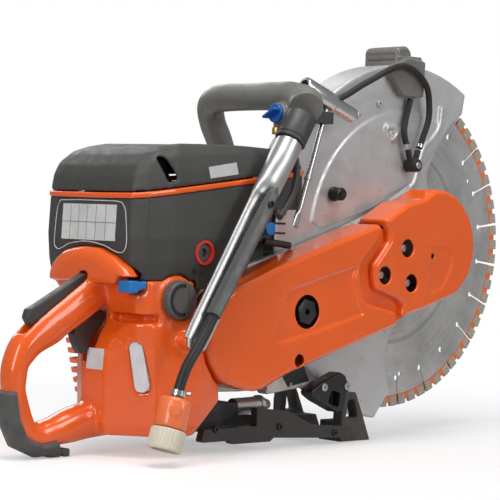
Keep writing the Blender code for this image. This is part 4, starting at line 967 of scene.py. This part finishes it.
def build_fuel_cap():
    """Knurled cap with its half-ring bail folded into a groove."""
    x, z = FUEL_CAP
    face = (x, -85, z)
    cap = lathe([(0, 0), (18.6, 0), (19.8, 0.5), (20.5, 1.8), (20.5, 9), (0, 9)], face, sides=96)
    ring = lathe([(13.5, -1), (17.2, -1), (17.2, 2.6), (13.5, 2.6)], face, sides=96)
    ring = combine(ring, [box(x + 4, x + 30, -88, -80, z - 30, z + 30)])
    knurls = rods_around(FUEL_CAP, 20.9, 30, 0.9, -86, -74)
    line = box(x + 7.5, x + 8.4, -86, -84.2, z - 15, z + 15)
    crisp("fuel_cap", combine(cap, [ring, line, knurls]), "cap_grey")
    bail = lathe([(13.8, -0.8), (16.9, -0.8), (16.9, 2.3), (13.8, 2.3)], face, sides=96)
    crisp("cap_bail", combine(bail, [box(x + 1.7, x + 30, -88, -80, z - 30, z + 30)]), "black")


def build_stop_screw():
    knob = lathe([(0, 0), (8.5, 0), (8.5, -3), (7.5, -4.5), (7.5, -14), (5, -15), (5, -17), (0, -17)],
                 STOP_SCREW, sides=64)
    flutes = rods_around(STOP_SCREW[::2], 8.1, 14, 1.1, -60, -39.5)
    crisp("guard_stop_screw", combine(knob, [flutes]), "black_metal")


def build_decompression_valve():
    valve = join(rod(DECOMPRESSION, 5.6, -6, 14, edge=1), [rod(DECOMPRESSION, 7.4, -10, -2.2, edge=1.5)])
    crisp("decompression_valve", valve, "blue", 35.0)


def build_turned_pieces():
    build_flange()
    build_cover_nuts()
    build_tensioner()
    build_fuel_cap()
    build_stop_screw()
    build_decompression_valve()


def tube_point(t, side=0.0):
    """A point on the right leg's axis, from 0 at its top to 1 at its foot, moved sideways."""
    return TUBE_TOP + (TUBE_END - TUBE_TOP) * t + Vector((0, side, 0))


GRIP_ROUTE = [(22, 93, 322), (12, 93, 346), (0, 92, 366), (-11, 84, 383), (-18, 68, 391), (-20, 48, 393),
              (-20, 10, 393), (-20, -38, 393), (-19, -62, 391), (-19, -80, 384),
              tuple(TUBE_TOP + Vector((4, 0, 6)))]
GRIP_RADII = [15.5, 15.5, 15.5, 16, 16, 16, 15.5, 16, 17.5, 20.5, 19]


def build_grip():
    """Soft grip in one smooth bend over the handle, with the boss that carries the water valve."""
    grip = smooth_sweep(GRIP_ROUTE, [(r, r) for r in GRIP_RADII], 3.0, (1, 0, 0), 56, 2)
    skin = mould(gather(grip, rod(VALVE_AT, 12.5, 1, 28, (1, 0, 0), 48, 2)), 1.0, 10)
    skin = combine(skin, [rod(VALVE_AT, 5.3, -10, 19, (1, 0, 0)),
                          rod((GRIP_ROUTE[0][0] + 5, 93, 311), 12.3, -10, 16, (-0.4, 0, 1))])
    crisp("front_handle_grip", skin, "warm_grey", 50.0)


def build_front_handle():
    """Right leg of the handle: round tube pressed flat lower down, held in a ribbed collar."""
    stations = ((0.13, 14.5, 14.5), (0.17, 14.7, 14.5), (0.2, 15, 14.5), (0.3, 16, 12), (0.36, 17, 8),
                (0.45, 17, 5.5), (0.93, 17, 5), (0.97, 13, 5), (1.0, 7, 5))
    points = [tube_point(t, side=0.2 * (14.5 - wide) * 0.6) for t, deep, wide in stations]
    sizes = [(deep, wide) for t, deep, wide in stations]
    crisp("front_handle_tube", smooth_sweep(points, sizes, 4.0, (0, 1, 0), 48, 2.2), "silver", 40.0)
    wider = [(r + GAP, r + GAP) for r in GRIP_RADII[-3:]]
    grip_end = smooth_sweep(GRIP_ROUTE[-3:], wider, 4.0, (1, 0, 0), 48, 2)
    collar = lathe([(0, 4), (17.2, 4), (17.5, 5), (17.5, 32), (16.6, 33), (16.6, 34.2), (17.5, 35),
                    (17.5, 37), (16.5, 38), (0, 38)], TUBE_TOP, TUBE_DOWN, 72)
    collar = combine(collar, [grip_end, rod(VALVE_AT, 12.8, 0, 29, (1, 0, 0))])
    crisp("handle_collar", collar, "dark_grey")


def build_valve():
    """Water valve: clear blue wing on a tan body with brass fittings."""
    x, y, z = VALVE_AT
    wing = bevelled(box(x - 13, x - 2, y - 1.6, y + 1.6, z - 10.4, z + 10.4), 1.0)
    bmesh.ops.rotate(wing, cent=VALVE_AT, matrix=Matrix.Rotation(math.radians(62), 3, "X"), verts=wing.verts)
    knob = join(rod(VALVE_AT, 10.5, -3, 0.7, (1, 0, 0), 64, 0.8),
                [wing, rod(VALVE_AT, 5, 0, 17, (1, 0, 0), 32)])
    crisp("water_valve", knob, "clear_blue", 35.0)
    body = join(rod((x + 14, y, z - 12), 7.2, -6, 6, (0, 0, 1), 48, 1.0),
                [rod((x + 14, y, z - 19), 5.6, -4, 3, (0, 0, 1), 6),
                 rod((x + 14, y, z - 12), 4.5, -14, 0, (0, -1, 0))])
    piece("valve_body", body, "tan", sharp=35.0)
    ferrule = lathe([(3.4, 0), (5.2, 0), (5.6, 1), (5.6, 7), (5.2, 8), (3.4, 8)], (x + 7, y + 5, z - 15),
                    (0.0, 0.0, -1.0), 32)
    piece("valve_ferrule", ferrule, "brass", sharp=35.0)


def build_wrench():
    """Socket wrench with a hexagon at each end, a collared shank and a flat tip."""
    socket = lathe([(0, -39), (10.5, -39), (11.2, -38.4), (11.5, -37), (11.5, 5), (11, 6.2), (9.4, 8.4),
                    (9, 9.6), (9, 37), (8.7, 38.2), (8, 39), (0, 39)], WRENCH_CENTRE, WRENCH_SOCKET, 72)
    shank = rod(WRENCH_CENTRE, 3.0, 4, 141, WRENCH_SHANK, 40)
    collar = rod(WRENCH_CENTRE, 4.2, 96, 100, WRENCH_SHANK, 40, 0.6)
    places = [WRENCH_CENTRE + WRENCH_SHANK * d for d in (138, 146, 158)]
    tip = smooth_sweep(places, [(3.0, 3.0), (4.4, 1.6), (4.6, 0.9)], 2.5, (0, 1, 0), 32, 3.2)
    wrench = join(socket, [shank, collar, tip])
    wrench = combine(wrench, [rod(WRENCH_CENTRE, 8.6, -41, -20, WRENCH_SOCKET, 6),
                              rod(WRENCH_CENTRE, 6.4, 22, 41, WRENCH_SOCKET, 6)])
    crisp("combination_wrench", wrench, "chrome")


def build_nozzle():
    """Black T piece on the guard, fed by both hoses."""
    at = Vector((203, -34.5, 325))
    body = rod(at, 8, -17, 0, edge=1)
    stubs = [rod(at + Vector((dx, -8, 7)), 3.6, -5, 12, (dx, 0, 14), 32) for dx in (-5, 5)]
    crisp("water_nozzle", join(body, stubs), "black", 35.0)
    hexagon = bevelled(rod((at.x, 0, at.z), 4.6, at.y - 18.6, at.y - 16.5, sides=6), 0.4)
    piece("nozzle_screw", hexagon, "chrome", "guard")
    for k, dx in enumerate((-5, 5)):
        along = Vector((dx, 0, 14)).normalized()
        clamp = lathe([(3.9, 0), (5.0, 0), (5.0, 4.5), (3.9, 4.5)], at + Vector((dx, -8, 7)) + along * 15.5,
                      along, 40)
        piece(f"nozzle_clamp_{k}", clamp, "chrome", "guard")


def build_hoses():
    """Rubber water hoses. The one to the guard is left in the frame, on no body."""
    crisp("valve_hose", tube(VALVE_HOSE, 3.75, 2.5, 28), "braid", 40.0)
    crisp("nozzle_hose", tube(NOZZLE_HOSE, 3.75, 2.5, 28), "black", 40.0)
    obj = add_object("guard_hose_skin", to_frame(tube(GUARD_HOSE, 3.75, 2.5, 28)), MAT["black"])
    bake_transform(obj)
    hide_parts("guard_hose")


# ---------------------------------------------------------------- labels, screws and small fittings
def rear_face(y, z):
    """X of the filter base's slightly bowed rear face."""
    return -248 + (0.0455 * y if y > 0 else -0.0667 * y) - 1.5 * (272 - z) / 40


def curved_label(y0, y1, z0, z1, out):
    """A thin upright strip on the filter base's rear face."""
    corners = ((y0, z0), (y1, z0), (y1, z1), (y0, z1))
    return rings_to_mesh([[(rear_face(y, z) - lift, y, z) for y, z in corners] for lift in (-0.8, out)])


def build_rating_plate():
    """Blank black plate on the arm, with two rivets."""
    piece("rating_plate", prism([(4, 66), (37, 72), (25, 95), (-15, 92)], -46.9, -45.8), "black_metal")
    for k, (x, z) in enumerate(((7, 69), (27, 91))):
        screw(f"plate_rivet_{k}", (x, -46.9, z), "steel", 2.2)


def build_labels():
    """Blank labels: one with a plain grid and an outline round it, one on the tank, one on the cover."""
    halves = [curved_label(a, b, 226.5, 264.5, 0.35) for a, b in ((53, 0), (0, -38))]
    piece("rear_label", gather(*halves), "label")
    lines = [curved_label(y + 0.3, y - 0.3, 227.5, 263.5, 0.5) for y in (38, 23, 8, -7, -22)]
    lines += [curved_label(a, b, 245.1, 245.8, 0.5) for a, b in ((52, 0.1), (0, -37))]
    piece("rear_label_grid", gather(*lines), "label_line")
    outline = [(59, 268), (30, 268.6), (0, 268.6), (-40, 268), (-48, 264), (-52, 256), (-56, 226), (-52, 216),
               (-44, 215), (-36, 217), (-20, 222), (7, 225), (36, 222), (50, 217), (58, 215), (64, 218),
               (66, 226), (64, 258), (59, 268)]
    bezel = tube([(rear_face(y, z) - 0.1, y, z) for y, z in outline], 0.5, 3.0, 12)
    piece("rear_label_bezel", bezel, "label", sharp=180.0)
    corners = [(-251.6, -3, 91), (-249.1, -27, 91), (-247.7, -27, 113), (-250.2, -3, 113)]
    tank_label = rings_to_mesh([[(x - out, y, z) for x, y, z in corners] for out in (-0.5, 0.45)])
    piece("tank_label", tank_label, "label")


def build_cover_details():
    """The air intake's backing, a black sheet that is painted shade inside the slot, the front cover's inner lip,
    the side label, a black pin that is painted shade in a small hole, and the cover's screw.
    """
    # Painted shade: a black sheet behind the air intake stands in for the shade inside the slot.
    intake = prism([(-222, 312), (-205, 312), (-190, 288), (-211, 286)], -62, -60)
    piece("intake_painted_shade", intake, "black")
    lip = prism([(96, 250), (92, 240), (58, 208), (58, 186), (68, 158), (85, 152), (120, 146), (126, 137),
                 (150, 146), (152, 164), (136, 178), (104, 187), (100, 196), (100, 204), (124, 232), (122, 247)],
                -84.6, -82.6)
    piece("front_cover_lip", lip, "orange")
    side = prism([(-154, 308), (-114.5, 314.5), (-111, 302), (-151, 296)], -74.0, -77.2)
    piece("side_label", side, "label")
    at = (-157, 0, 217)
    ring = lathe([(10.5, -79.5), (13.2, -79.5), (13.2, -74), (10.5, -74)], at, sides=64)
    piece("cover_screw_ring", ring, "red")
    # Painted shade: a short black pin stands in for the dark inside of a small hole in the cover.
    piece("cover_hole_shade", rod((-168, 0, 198), 2.6, -78.6, -72), "black")
    plug = combine(rod(at, 10.2, -76.5, -68, edge=0.8), [rod(at, 5.2, -80, -73, sides=6)])
    piece("cover_screw", plug, "cap_grey")


def build_screws():
    for k, (x, z) in enumerate(((44, 66), (81, 66))):
        screw(f"bracket_screw_{k}", (x, -64, z), "steel", 4.6)
    for k, (x, z) in enumerate(((-118, 26), (-22, 24), (66, 13))):
        screw(f"frame_screw_{k}", (x, -62, z), "black_metal", 4.0)
    screw("channel_screw", (-102, -119.6, 271), "black_metal", 4.0)
    screw("leg_screw", (-186, -108.6, 124), "steel", 5.0)


SUPPLY_ROUTE = [(-165.6, -112.8, 162.5), (-173.6, -113, 150), (-184.6, -114.4, 134), (-197, -116, 118),
                (-209.5, -116.9, 102), (-218.5, -117.5, 84), (-223.3, -118, 69.5)]
COUPLING_AXIS = Vector((-0.30, -0.03, -0.954)).normalized()


def build_supply_hose():
    """The short rubber hose that hangs from the channel to the coupling, and what it carries."""
    hose = crisp("supply_hose", tube(SUPPLY_ROUTE, 5.75, 3.0, 32), "black", 180.0)
    end = Vector(SUPPLY_ROUTE[-1])
    clamp_at = end - COUPLING_AXIS * 7
    tie = lathe([(6.6, 0), (8.4, 0), (8.4, 6), (6.6, 6)], clamp_at, COUPLING_AXIS, 48)
    lug = rod(clamp_at + COUPLING_AXIS * 3 + Vector((7, -5, 0)), 2.2, -1, 5, (0.5, -0.8, 0), 24)
    clamp = crisp("hose_clamp", join(tie, [lug]), "chrome")
    body = lathe([(0, 0.3), (8.6, 0.3), (9.6, 0.7), (14.8, 2.0), (16.2, 3.2), (17, 6), (17, 30.4), (16.4, 32),
                  (15, 33), (10, 33.5), (0, 33.5)], end, COUPLING_AXIS, 72)
    facing = Vector((-0.62, -0.78, 0.0))
    across = facing - COUPLING_AXIS * facing.dot(COUPLING_AXIS)
    button = rod(end + COUPLING_AXIS * 15, 6.5, 10, 17.9, across, 48, 0.8)
    body = join(body, [button])
    coupling = crisp("hose_coupling", combine(body, [rod(end, 7, 12, 40, COUPLING_AXIS)]), "coupling", 35.0)
    nut = lathe([(10.6, 34), (17, 34), (18.1, 35), (18.5, 36.5), (18.5, 53.5), (18.1, 55), (17, 56), (14, 56),
                 (14, 43), (10.6, 43)], end, COUPLING_AXIS, 96)
    side = COUPLING_AXIS.orthogonal().normalized()
    other = COUPLING_AXIS.cross(side)
    flutes = [rod(end + (side * math.cos(a) + other * math.sin(a)) * 19.1, 1.15, 35.6, 54.4,
                  COUPLING_AXIS, 10) for a in around(28)]
    swivel = crisp("swivel_nut", combine(nut, [gather(*flutes)]), "ivory", 35.0)


CAD_FINISH = {
    "air_filter": "paper", "blade_bolt": "steel", "carburettor": "cast", "clutch_drum": "steel",
    "crankshaft": "steel", "cylinder": "dark_metal", "drive_belt": "black",
    "flywheel": "cast", "front_pulley": "cast", "spark_plug": "ceramic", "spindle": "steel",
    "starter_grip": "dark_grey", "starter_pulley": "dark_grey", "support_frame": "frame_dark",
    "tank_window": "window"}


def finish_cad_nodes():
    """Every CAD node that still shows gets its procedural material."""
    for name, key in CAD_FINISH.items():
        mesh = frame["nodes"][name].data
        mesh.materials.clear()
        mesh.materials.append(MAT[key])


def main():
    build_stage()
    build_light()
    build_camera()
    build_supply_hose()
    build_hoses()
    build_shells()
    build_disc()
    build_guard()
    build_turned_pieces()
    build_grip()
    build_front_handle()
    build_valve()
    build_wrench()
    build_nozzle()
    build_rating_plate()
    build_labels()
    build_cover_details()
    build_screws()
    finish_cad_nodes()


main()
